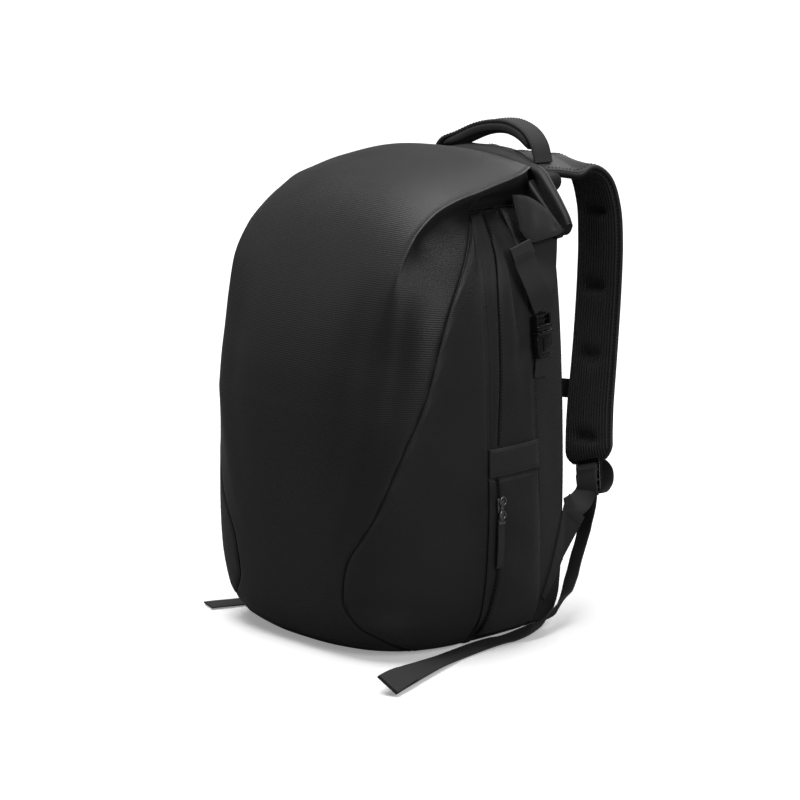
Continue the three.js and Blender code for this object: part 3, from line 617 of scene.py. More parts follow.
def stitches(name, lines, pitch=None):
    """Thread lying on the cloth: one small bead for each stitch of each (points, normals) line"""
    pitch = pitch or sizes().stitch_pitch
    verts, faces = [], []
    for points, outs in lines:
        for k, share, centre, tangent in paced(points, pitch, pitch / 2):
            out = outs[k - 1].lerp(outs[k], share).normalized()
            across = tangent.cross(out).normalized()
            base = len(verts)
            verts.append(centre - tangent * STITCH_LENGTH / 2)
            for end in (-0.28, 0.28):
                for i in range(6):
                    angle = math.pi * i / 3
                    spoke = (across * math.cos(angle) + out * math.sin(angle)) * STITCH_RADIUS
                    verts.append(centre + tangent * STITCH_LENGTH * end + spoke)
            verts.append(centre + tangent * STITCH_LENGTH / 2)
            for i in range(6):
                near, after = base + 1 + i, base + 1 + (i + 1) % 6
                faces.append((base, after, near))
                faces.append((near, after, after + 6, near + 6))
                faces.append((base + 13, near + 6, after + 6))
    return make_solid(name, verts, faces, smooth=60)


def zip_chain(name, points, outs):
    """Interlocked zip coil along a line, a small bar to each side in turn"""
    verts, faces = [], []
    flip = 1
    box = [(0, 1, 2, 3), (4, 7, 6, 5), (0, 4, 5, 1), (1, 5, 6, 2), (2, 6, 7, 3), (3, 7, 4, 0)]
    for k, _, centre, tangent in paced(points, ZIP_PITCH, ZIP_PITCH):
        across = tangent.cross(outs[k]).normalized()
        centre = centre + across * flip * ZIP_HALF * 0.45
        base = len(verts)
        for lift, shrink in ((-0.0004, 1), (0.0007, 0.72)):
            for x, y in ((-1, -1), (1, -1), (1, 1), (-1, 1)):
                corner = across * x * ZIP_HALF * shrink + tangent * y * ZIP_PITCH * 0.36 * shrink
                verts.append(centre + corner + outs[k] * lift)
        faces += [tuple(base + i for i in face) for face in box]
        flip = -flip
    return make_solid(name, verts, faces)


def cube(name, cuts):
    """A cube of side 1 about the origin, its faces cut into smaller ones"""
    clear_selection()
    bpy.ops.mesh.primitive_cube_add(size=1, location=(0, 0, 0))
    obj = bpy.context.object
    obj.name = obj.data.name = name
    bpy.ops.object.mode_set(mode="EDIT")
    bpy.ops.mesh.select_all(action="SELECT")
    bpy.ops.mesh.subdivide(number_cuts=cuts)
    bpy.ops.object.mode_set(mode="OBJECT")
    return obj


def block(name, centre, axes, size, bevel, taper=1.0):
    """A bevelled block on three axes; taper narrows its lower end"""
    obj = cube(name, 2)
    for v in obj.data.vertices:
        x, y, z = v.co.x * size[0], v.co.y * size[1], v.co.z * size[2]
        x *= mix(taper, 1, v.co.y + 0.5)
        v.co = centre + axes[0] * x + axes[1] * y + axes[2] * z
    applied(obj, "BEVEL", width=bevel, segments=3, limit_method="ANGLE", angle_limit=math.radians(40))
    choose(obj)
    bpy.ops.object.shade_smooth_by_angle(angle=math.radians(35))
    face_outwards(obj)
    return obj


def joined(first, *others):
    """One object of several"""
    choose(first)
    for obj in others:
        obj.select_set(True)
    bpy.ops.object.join()
    return first


def blocks(axes, at, rows):
    """One object of blocks, each a (name, place, size, bevel and perhaps taper)"""
    return joined(*[block(name, at(*place), axes, *shape) for name, place, *shape in rows])


def mirrored(obj, name):
    """A copy of a piece on the other side of the bag"""
    copy = obj.copy()
    copy.data = obj.data.copy()
    copy.name = copy.data.name = name
    bpy.context.collection.objects.link(copy)
    for v in copy.data.vertices:
        v.co.x = -v.co.x
    copy.data.flip_normals()
    copy.data.update()
    return copy


def dressed(obj, material, nodes=()):
    """Gives a piece its material, its body and the nodes it stands for"""
    obj.data.materials.clear()
    obj.data.materials.append(finish(material))
    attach(obj, "root")
    if nodes:
        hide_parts(*nodes)


def pair(obj, material, node=None):
    """Dresses a right-hand piece and makes its left-hand copy"""
    left = mirrored(obj, obj.name.replace("_right", "_left"))
    for piece, hand in ((obj, "right"), (left, "left")):
        dressed(piece, material, [f"{node}_{hand}"] if node else ())


def applied(obj, kind, **settings):
    """Adds a modifier with these settings and applies it"""
    modifier = obj.modifiers.new(kind.title(), kind)
    for key, value in settings.items():
        setattr(modifier, key, value)
    choose(obj)
    bpy.ops.object.modifier_apply(modifier=modifier.name)


def plump(obj, voxel, pressure, cap):
    """Swells a closed pad by cloth simulation, never further than cap from where it was"""
    applied(obj, "REMESH", mode="VOXEL", voxel_size=voxel)
    rest = np.array([v.co for v in obj.data.vertices])
    cloth = obj.modifiers.new("Cloth", "CLOTH")
    cloth.settings.use_pressure = True
    cloth.settings.uniform_pressure_force = pressure
    cloth.settings.effector_weights.gravity = 0
    cloth.settings.quality = 4
    scene = bpy.context.scene
    for number in range(1, sizes().pad_steps + 1):
        scene.frame_set(number)
    choose(obj)
    bpy.ops.object.modifier_apply(modifier=cloth.name)
    scene.frame_set(1)
    now = np.array([v.co for v in obj.data.vertices])
    move = now - rest
    far = np.linalg.norm(move, axis=1, keepdims=True)
    now = rest + move * np.minimum(1, cap / np.maximum(far, 1e-9))
    obj.data.vertices.foreach_set("co", now.ravel())
    obj.data.update()
    applied(obj, "SUBSURF", levels=1, render_levels=1)
    choose(obj)
    bpy.ops.object.shade_smooth()
    lay_cloth(obj)
    return obj


def lay_cloth(obj):
    """A UV map in metres for a swollen pad, laid across it and down its back"""
    layer = obj.data.uv_layers.new(name="cloth")
    index = np.empty(len(obj.data.loops), dtype=np.int32)
    obj.data.loops.foreach_get("vertex_index", index)
    places = np.array([v.co for v in obj.data.vertices])
    uvs = np.stack([places[:, 0], places[:, 1] + places[:, 2]], axis=-1)
    layer.data.foreach_set("uv", uvs[index].astype(np.float32).ravel())


# Materials

class Wiring:
    """Short words for adding nodes to a tree and linking them"""

    def __init__(self, tree):
        self.tree = tree

    def node(self, kind, **settings):
        made = self.tree.nodes.new(kind)
        for key, value in settings.items():
            setattr(made, key, value)
        return made

    def link(self, a, b):
        self.tree.links.new(a, b)

    def math(self, operation, *values, clamp=False):
        made = self.node("ShaderNodeMath", operation=operation, use_clamp=clamp)
        for k, value in enumerate(values):
            if isinstance(value, (int, float)):
                made.inputs[k].default_value = value
            else:
                self.link(value, made.inputs[k])
        return made.outputs[0]

    def noise(self, vector, scale, detail):
        made = self.node("ShaderNodeTexNoise")
        made.inputs["Scale"].default_value = scale
        made.inputs["Detail"].default_value = detail
        made.inputs["Roughness"].default_value = 0.55
        self.link(vector, made.inputs["Vector"])
        return made.outputs["Fac"]

    def wave(self, length, pitch):
        """0 to 1 and back once in every pitch"""
        turn = self.math("DIVIDE", length, pitch)
        sine = self.math("SINE", self.math("MULTIPLY", turn, 2 * math.pi))
        return self.math("MULTIPLY_ADD", sine, 0.5, 0.5)


def node_group(name, inputs, outputs, build):
    """A group of this name, built once; an input without a value is a vector"""
    if name in bpy.data.node_groups:
        return bpy.data.node_groups[name]
    group = bpy.data.node_groups.new(name, "ShaderNodeTree")
    for key, value in inputs.items():
        kind = "NodeSocketVector" if value is None else "NodeSocketFloat"
        made = group.interface.new_socket(name=key, in_out="INPUT", socket_type=kind)
        if value is not None:
            made.default_value = value
    for key in outputs:
        group.interface.new_socket(name=key, in_out="OUTPUT", socket_type="NodeSocketFloat")
    wiring = Wiring(group)
    entry, leave = wiring.node("NodeGroupInput"), wiring.node("NodeGroupOutput")
    build(wiring, entry.outputs, leave.inputs)
    return group


def ribbed_weave():
    """Parallel ribs with a finer cross thread, leaning by a slant"""
    def build(w, given, out):
        split = w.node("ShaderNodeSeparateXYZ")
        w.link(given["Vector"], split.inputs[0])
        lean = w.math("MULTIPLY", split.outputs["X"], given["Slant"])
        rib = w.wave(w.math("ADD", split.outputs["Y"], lean), given["Pitch"])
        cross = w.wave(split.outputs["X"], given["Cross"])
        height = w.math("MULTIPLY", rib, w.math("MULTIPLY_ADD", cross, 0.35, 0.65))
        w.link(height, out["Height"])
        w.link(w.math("POWER", height, 0.7), out["Tint"])
    inputs = {"Vector": None, "Pitch": 0.002, "Cross": 0.001, "Slant": 0.0}
    return node_group("Ribbed Weave", inputs, ("Height", "Tint"), build)


def spacer_mesh():
    """Rows of small open cells between raised cords"""
    def build(w, given, out):
        split = w.node("ShaderNodeSeparateXYZ")
        w.link(given["Vector"], split.inputs[0])
        cord = w.wave(split.outputs["X"], given["Pitch"])
        lean = w.math("MULTIPLY", w.math("ABSOLUTE", split.outputs["X"]), 1.4)
        cell = w.wave(w.math("ADD", split.outputs["Y"], lean), given["Cell"])
        gap = w.math("POWER", w.math("SUBTRACT", 1.0, cord), 0.8)
        hole = w.math("MULTIPLY", gap, w.math("MULTIPLY_ADD", cell, 0.5, 0.5))
        w.link(w.math("SUBTRACT", 1.0, hole), out["Height"])
        w.link(w.math("POWER", hole, 0.8), out["Hole"])
    inputs = {"Vector": None, "Pitch": 0.0024, "Cell": 0.0019}
    return node_group("Spacer Mesh", inputs, ("Height", "Hole"), build)


def cloth_age():
    """Slow mottling, fine grain and paler rubbed edges"""
    def build(w, given, out):
        slow = w.noise(given["Vector"], 9.0, 4.0)
        grain = w.noise(given["Vector"], 900.0, 2.0)
        rubbed = w.noise(given["Vector"], 60.0, 4.0)
        w.link(w.math("MULTIPLY_ADD", w.math("SUBTRACT", slow, 0.5), 1.6, 0.5, clamp=True), out["Mottle"])
        w.link(grain, out["Grain"])
        wear = w.math("MULTIPLY", given["Edge"], w.math("MULTIPLY_ADD", rubbed, 1.4, -0.2, clamp=True))
        w.link(wear, out["Wear"])
    return node_group("Cloth Age", {"Vector": None, "Edge": 0.0}, ("Mottle", "Grain", "Wear"), build)


def surface(name, rough, sheen=0.0, specular=0.5, coat=0.0, metallic=0.0):
    """A new material, its wiring and shader, and its UV, object place and edge mask"""
    material = bpy.data.materials.new(name)
    material.use_nodes = True
    w = Wiring(material.node_tree)
    bsdf = material.node_tree.nodes["Principled BSDF"]
    for key, value in (("Roughness", rough), ("Metallic", metallic), ("Specular IOR Level", specular),
                       ("Sheen Weight", sheen), ("Sheen Roughness", 0.45),
                       ("Coat Weight", coat), ("Coat Roughness", 0.25)):
        bsdf.inputs[key].default_value = value
    uv = w.node("ShaderNodeUVMap", uv_map="cloth")
    place = w.node("ShaderNodeTexCoord")
    edge = w.node("ShaderNodeAttribute", attribute_name="edge")
    return material, w, bsdf, uv.outputs["UV"], place.outputs["Object"], edge.outputs["Fac"]


def use_group(w, group, **links):
    """The outputs of a node group, its inputs given as numbers or sockets"""
    made = w.node("ShaderNodeGroup", node_tree=group)
    for key, value in links.items():
        if isinstance(value, (int, float)):
            made.inputs[key].default_value = value
        else:
            w.link(value, made.inputs[key])
    return made.outputs


def colour_between(w, factor, low, high):
    """A mix of two colours, each a tuple or a socket"""
    made = w.node("ShaderNodeMix", data_type="RGBA")
    w.link(factor, made.inputs["Factor"])
    for name, colour in (("A", low), ("B", high)):
        if isinstance(colour, tuple):
            made.inputs[name].default_value = (*colour, 1)
        else:
            w.link(colour, made.inputs[name])
    return made.outputs["Result"]


def bump(w, bsdf, height, distance):
    """Relief of a given depth in metres"""
    made = w.node("ShaderNodeBump")
    made.inputs["Strength"].default_value = 1.0
    made.inputs["Distance"].default_value = distance
    w.link(height, made.inputs["Height"])
    w.link(made.outputs["Normal"], bsdf.inputs["Normal"])


def base_colour(w, bsdf, face, colour, darkest):
    """The face's colour, darkened down to a share of it where shade is painted"""
    # Painted shade, read from a point attribute
    lining = w.node("ShaderNodeAttribute", attribute_name="lining").outputs["Fac"]
    w.link(colour_between(w, lining, face, scaled(colour, darkest)), bsdf.inputs["Base Color"])


def scaled(colour, factor):
    """A paler or darker colour"""
    return tuple(min(c * factor, 1) for c in colour)


def woven(name, colour, pitch, cross, slant, rough, depth, contrast, sheen=0.05, specular=0.3):
    """Cloth of ribs: its colour, roughness and relief follow the weave, the mottling and the wear"""
    material, w, bsdf, uv, place, edge = surface(name, rough, sheen, specular)
    weave = use_group(w, ribbed_weave(), Vector=uv, Pitch=pitch, Cross=cross, Slant=slant)
    age = use_group(w, cloth_age(), Vector=place, Edge=edge)
    tone = w.math("MULTIPLY_ADD", weave["Tint"], contrast, w.math("MULTIPLY", age["Mottle"], 0.35))
    tone = w.math("ADD", tone, w.math("MULTIPLY", age["Wear"], 0.7), clamp=True)
    face = colour_between(w, tone, scaled(colour, 0.55), scaled(colour, 1.75))
    base_colour(w, bsdf, face, colour, 0.12)
    rougher = w.math("MULTIPLY_ADD", age["Mottle"], 0.14, rough - 0.07)
    w.link(w.math("MULTIPLY_ADD", weave["Height"], -0.08, rougher), bsdf.inputs["Roughness"])
    bump(w, bsdf, w.math("MULTIPLY_ADD", age["Grain"], 0.25, weave["Height"]), depth)
    return material


def mesh_cloth(name, colour):
    """Knitted mesh with dark holes between its cords"""
    material, w, bsdf, uv, place, edge = surface(name, 0.85, 0.08, 0.2)
    cells = use_group(w, spacer_mesh(), Vector=uv, Pitch=0.0033, Cell=0.0036)
    age = use_group(w, cloth_age(), Vector=place, Edge=edge)
    tone = w.math("SUBTRACT", w.math("MULTIPLY_ADD", age["Mottle"], 0.3, 0.75), cells["Hole"], clamp=True)
    face = colour_between(w, tone, scaled(colour, 0.12), scaled(colour, 3.4))
    base_colour(w, bsdf, face, colour, 0.10)
    bump(w, bsdf, cells["Height"], 0.0010)
    return material


def moulded(name, colour, rough, metallic=0.0, coat=0.0):
    """Smooth plastic or metal with a faint grain"""
    material, w, bsdf, _, place, edge = surface(name, rough, 0.0, 0.4, coat, metallic)
    age = use_group(w, cloth_age(), Vector=place, Edge=edge)
    face = colour_between(w, age["Mottle"], scaled(colour, 0.8), scaled(colour, 1.6))
    w.link(face, bsdf.inputs["Base Color"])
    w.link(w.math("MULTIPLY_ADD", age["Grain"], 0.16, rough - 0.05), bsdf.inputs["Roughness"])
    bump(w, bsdf, age["Grain"], 0.00004)
    return material


def finish(name):
    """The material of this name, made the first time it is asked for"""
    if name in bpy.data.materials:
        return bpy.data.materials[name]
    c, rib = colours(), sizes().rib_pitch
    # Colour, pitches of rib and cross thread, slant, roughness, depth, contrast, sheen, specular
    cloths = {
        "front_cloth": (c.cloth, rib, 0.0011, 0.0, 0.50, 0.00013, 0.42),
        "side_cloth": (c.cloth, 0.0019, 0.0012, 2.2, 0.56, 0.00018, 0.4),
        "band_cloth": (scaled(c.cloth, 1.5), 0.0019, 0.0012, 2.2, 0.56, 0.00018, 0.4),
        "back_cloth": (c.cloth, rib, 0.0011, 0.0, 0.55, 0.00022, 0.6),
        "plain_cloth": (c.dark_cloth, 0.0012, 0.0012, 0.0, 0.6, 0.00008, 0.25),
        "base_cloth": (c.dark_cloth, 0.003, 0.003, 0.0, 0.7, 0.0002, 0.5),
        "webbing": (c.webbing, 0.0017, 0.0028, 0.35, 0.66, 0.00035, 0.7, 0.03, 0.2),
        "thread": (scaled(c.webbing, 1.3), 0.0008, 0.0008, 0.0, 0.6, 0.00005, 0.5),
    }
    if name in cloths:
        return woven(name, *cloths[name])
    if name == "mesh":
        return mesh_cloth(name, c.mesh)
    if name == "slider_metal":
        return moulded(name, c.metal, 0.24, metallic=0.8)
    return moulded(name, c.plastic, 0.24, coat=0.15)


# The shell

def bell(value, centre, reach):
    """1 at the centre, falling off over a reach"""
    return np.exp(-((value - centre) / reach) ** 2)


def painted_top_shade(points, across, up):
    """Painted shade on the panels' tops, which turn in under the crown's overhang"""
    start, over = 0.366, 0.034
    return np.clip((points[..., 2] - start) / over, 0, 1) ** 1.3


# Panels get painted shade at their tops unless given otherwise
def panel(name, columns, start, stop, highest, relief, lining=painted_top_shade):
    """A panel of the side wall between two seams, up to a row"""
    us = clustered(columns)
    vs = np.linspace(0, highest, highest * 5 + 1)

    def place(u, v):
        z = height_at(v)
        return wall(z, mix(start(z) + seam_turn(), stop(z) - seam_turn(), u))
    return shell(name, grid(us, vs, place), relief=relief, lining=lining)


class FrontPanel(bpy.types.Operator):
    """Makes the domed front, from the base over the crown to the rolled mouth"""
    bl_idname = "backpack.front_panel"
    bl_label = "Front panel"

    def execute(self, context):
        rows = LOW_LEVELS + CROWN_STEPS
        us = clustered(120, 0.25, 0.75)
        vs = np.linspace(0, 1, rows * 6 + 1)

        def place(u, v):
            s = 2 * abs(2 * u - 1)
            row = v * rows
            p = below_crown(row, s) if row < LOW_LEVELS else crown_point(row - LOW_LEVELS, s)
            p.x *= math.copysign(1, u - 0.5)
            return p

        # Shares from the middle (0) by the crease (1) to the seam (2), steps of the crown, its fold
        s = np.array([2 * abs(2 * u - 1) for u in us])[None, :]
        step = (vs * rows - LOW_LEVELS)[:, None]
        fold = np.array([CROWN.read("fold", k) for k in step.ravel()])[:, None]

        def relief(points, across, up):
            hem = 0.0011 * fold * bell(s, 1, 0.03)
            ridge = 0.0006 * bell(s, 1, 0.16) * bell(step, 3.2, 2.6)
            left = -0.0018 * bell(s, 0.80, 0.16) * bell(step, 2.6, 3.2)
            right = -0.0022 * bell(s, 1.30, 0.26) * bell(step, 4.0, 3.2)
            puckers = 0.00035 * np.sin(up / 0.0052) * bell(s, 2, 0.05) * (step < 6)
            return hem + ridge + left + right + puckers

        # Painted shade on the fold beyond the crease, under the crown's overhang
        def under(points, across, up):
            return fold * np.clip((s - 1.04) / 0.18, 0, 1)

        points = grid(us, vs, place)
        ease = (0.5 * (1 - fold) * bell(s, 1, 0.45))[:, 1:-1, None]
        passes = 90
        for _ in range(passes):
            points[:, 1:-1] += ease * ((points[:, :-2] + points[:, 2:]) / 2 - points[:, 1:-1])
        obj = shell("front_shell", points, relief=relief, lining=under, from_middle=True,
                    level_row=LOW_LEVELS * 6)
        dressed(obj, "front_cloth", ["front_panel"])
        return {"FINISHED"}


class SidePanels(bpy.types.Operator):
    """Makes the gussets, zip strips and side walls of both sides"""
    bl_idname = "backpack.side_panels"
    bl_label = "Side panels"

    def execute(self, context):
        gusset_back, zip_line, back_seam = (side_seam(k) for k in ("gusset_back", "zip_line", "back_seam"))

        def puckers(points, across, up):
            return 0.0003 * np.sin(up / 0.006) * bell(across, 0.004, 0.004)
        gusset = panel("gusset_shell_right", 34, front_seam, gusset_back, SIDE_ROWS - 1, puckers)
        pair(gusset, "side_cloth", "side_gusset")
        self.painted_seam_shadow()

        def flap(points, across, up):
            return 0.0009 * bell(across, across[:, -1:] - 0.004, 0.003)
        strip = panel("zip_flap_right", 18, gusset_back, zip_line, SIDE_ROWS, flap)
        pair(strip, "side_cloth", "zip_strip")

        def gathers(points, across, up):
            y, z = points[..., 1], points[..., 2]
            middle = 0.006 + 0.05 * (0.37 - z)
            tuck = -0.0055 * bell(y, middle, 0.0085) * bell(z, 0.345, 0.055)
            swell = 0.0030 * bell(y, middle - 0.015, 0.010) * bell(z, 0.36, 0.06)
            crossing = -0.0022 * bell(z - 0.5 * y, 0.285, 0.012) * bell(y, 0.012, 0.014)
            top = -0.006 * np.clip((z - 0.395) / 0.03, 0, 1) ** 2
            return tuck + swell + crossing + top
        wall_panel = panel("side_wall_right", 44, zip_line, back_seam, SIDE_ROWS, gathers)
        pair(wall_panel, "side_cloth", "side_panel")

        def soft(points, across, up):
            return -0.0016 * bell(points[..., 2], 0.20, 0.05) * bell(across, 0.03, 0.02)
        rear = panel("rear_side_right", 30, back_seam, lambda z: 180.02, SIDE_ROWS, soft, lining=None)
        pair(rear, "back_cloth", "back_side_panel")
        return {"FINISHED"}

    def painted_seam_shadow(self):
        """Painted shadow: a dark cord in the groove between the front and the gusset, darkened all over"""
        line = []
        for z in np.linspace(height_at(0.3), height_at(SIDE_ROWS - 1.3), 110):
            turn = front_seam(z)
            onward = wall(z, turn + 0.5) - wall(z, turn - 0.5)
            line.append(wall(z, turn) - onward.cross(UP).normalized() * 0.0009)
        cord = tube("seam_cord_right", line, 0.0006)
        # Darkened all over: a painted shadow line in the seam
        mark_painted_shade(cord, np.ones(len(cord.data.vertices)))
        pair(cord, "plain_cloth")


def on_side(y, z, lift=0.0):
    """(point, outward) on the right side wall"""
    out = side_normal(y, z)
    return side(y, z) + out * lift, out


def side_line(depth_at, z0, z1, lift, count):
    """(points, outs) of a line up the side wall"""
    heights = [mix(z0, z1, k / count) for k in range(count + 1)]
    return tuple(zip(*[on_side(depth_at(z), z, lift) for z in heights]))


class Pockets(bpy.types.Operator):
    """Makes the side pockets with their hems, zips, sliders and pulls"""
    bl_idname = "backpack.pockets"
    bl_label = "Side pockets"

    # Between the pocket and the wall behind it
    clear = 0.0008

    def spread(self, u, z, lift=0.0):
        """(point, outward) at a share from the pocket's front edge to its back edge"""
        return on_side(mix(seam_depth_at("gusset_back", z), seam_depth_at("back_seam", z), u), z, lift)

    def execute(self, context):
        s = sizes()
        high = s.body_height
        pocket_height = lambda v: mix(POCKET_FOOT, HEM_FOOT, v) * high

        def swell(u, v):
            return POUCH_SWELL * (1 - (2 * u - 1) ** 4) * (1 - (2 * v - 1) ** 4)

        def zip_share(z):
            return 0.13 * min(1, max(0, (z - 0.012) / 0.075)) ** 0.6

        def pouch(u, v):
            z = pocket_height(v)
            slack = 0.0009 * math.sin(z * 95 + u * 3) * math.sin(math.pi * u) * math.sin(math.pi * v)
            return self.spread(u, z, self.clear + s.cloth + swell(u, v ** (1 / 1.5)) + slack)[0]

        def zip_slot(points, across, up):
            at = np.array([zip_share(z) for z in points[:, 0, 2]])[:, None] * across[:, -1:]
            slot = -0.0013 * bell(across, at, 0.0016) + 0.0007 * bell(across, at + 0.0042, 0.0015)
            return slot - 0.0022 * bell(up, up[-1:], 0.0030)
        places = grid(clustered(44, 0.13), np.linspace(0, 1, 90), pouch)
        body = shell("pocket_pouch_right", places, thickness=POUCH_THICKNESS, relief=zip_slot)
        pair(body, "side_cloth", "side_pocket")

        def hem(u, v):
            z = mix(HEM_FOOT + 0.0006, HEM_TOP, v) * high
            return self.spread(u, z, self.clear + HEM_THICKNESS - 0.0004 * math.sin(math.pi * u))[0]

        def roll(points, across, up):
            return 0.0006 * bell(up, up[-1:], 0.004) + 0.0004 * bell(up, 0, 0.003)
        places = grid(clustered(26), clustered(16), hem)
        band = shell("pocket_band_right", places, thickness=HEM_THICKNESS, relief=roll)
        pair(band, "band_cloth", "pocket_hem")

        lines = []
        for inset in (0.0032, 0.0245):
            z = HEM_FOOT * high + inset
            places = [self.spread(u, z, self.clear + 0.00315) for u in np.linspace(0.03, 0.97, 30)]
            lines.append(tuple(zip(*places)))
        pair(stitches("band_stitching_right", lines), "thread")

        shares = [mix(0.03, 0.995, k / 109) for k in range(110)]
        line = [pouch(zip_share(pocket_height(v)), v) for v in shares]
        outs = [self.spread(zip_share(z), z)[1] for z in map(pocket_height, shares)]
        pair(zip_chain("pocket_zip_right", line, outs), "plastic")
        self.slider()
        return {"FINISHED"}

    def slider(self):
        """Slider body with its bridge and links, and the cloth pull below it"""
        lower, upper = (Vector(c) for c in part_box("zip_slider_right"))
        centre = (lower + upper) / 2
        axes = side_axes(centre.y, centre.z)
        back, up, out = axes
        at = placer(centre, axes)
        plates = blocks(axes, at, [
            ("slider_plate_right", (0, 0, -0.0012), (0.0088, 0.0150, 0.0018), 0.0007, 0.7),
            ("slider_bridge", (0, 0, 0.0009), (0.0032, 0.0112, 0.0016), 0.0006),
            ("slider_ring", (0, -0.0072, 0.0014), (0.0060, 0.0026, 0.0014), 0.0005),
            ("slider_link", (0, -0.0118, 0.0012), (0.0036, 0.0080, 0.0012), 0.0005),
            ("slider_clamp", (0, -0.0165, 0.0014), (0.0084, 0.0034, 0.0026), 0.0008),
        ])
        turns = [2 * math.pi * k / 24 for k in range(26)]
        eyes = []
        for rise in (0.0050, -0.0088):
            ring = [at(math.cos(a) * 0.0036, rise + math.sin(a) * 0.0040, 0.0022) for a in turns]
            eyes.append(tube("eye", ring, 0.0009, ring=10))
        pair(joined(plates, *eyes), "slider_metal", "zip_slider")

        low, top = (Vector(c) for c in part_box("zip_pull_right"))
        start = Vector((top.x - 0.0016, (low.y + top.y) / 2, top.z - 0.001))
        end = start - up * (top.z - low.z - 0.001)
        points = [start, start.lerp(end, 0.3) + out * 0.0006, start.lerp(end, 0.7) + out * 0.0008, end]

        def shape(t):
            return 0.55 + 0.45 * min(1, t * 12), 1 - 0.3 * max(0, t - 0.9) * 10, 0
        pull = ribbon("slider_pull_right", points, [back] * 4, 30, *PULL, power=5, shape=shape)
        pair(pull, "webbing", "zip_pull")


# Top and back

def shoulder_line(x, sag):
    """Height of the shoulders, which sag towards their ends"""
    return PAD_TOP * sizes().body_height - sag * (2 * x / 0.190) ** 2


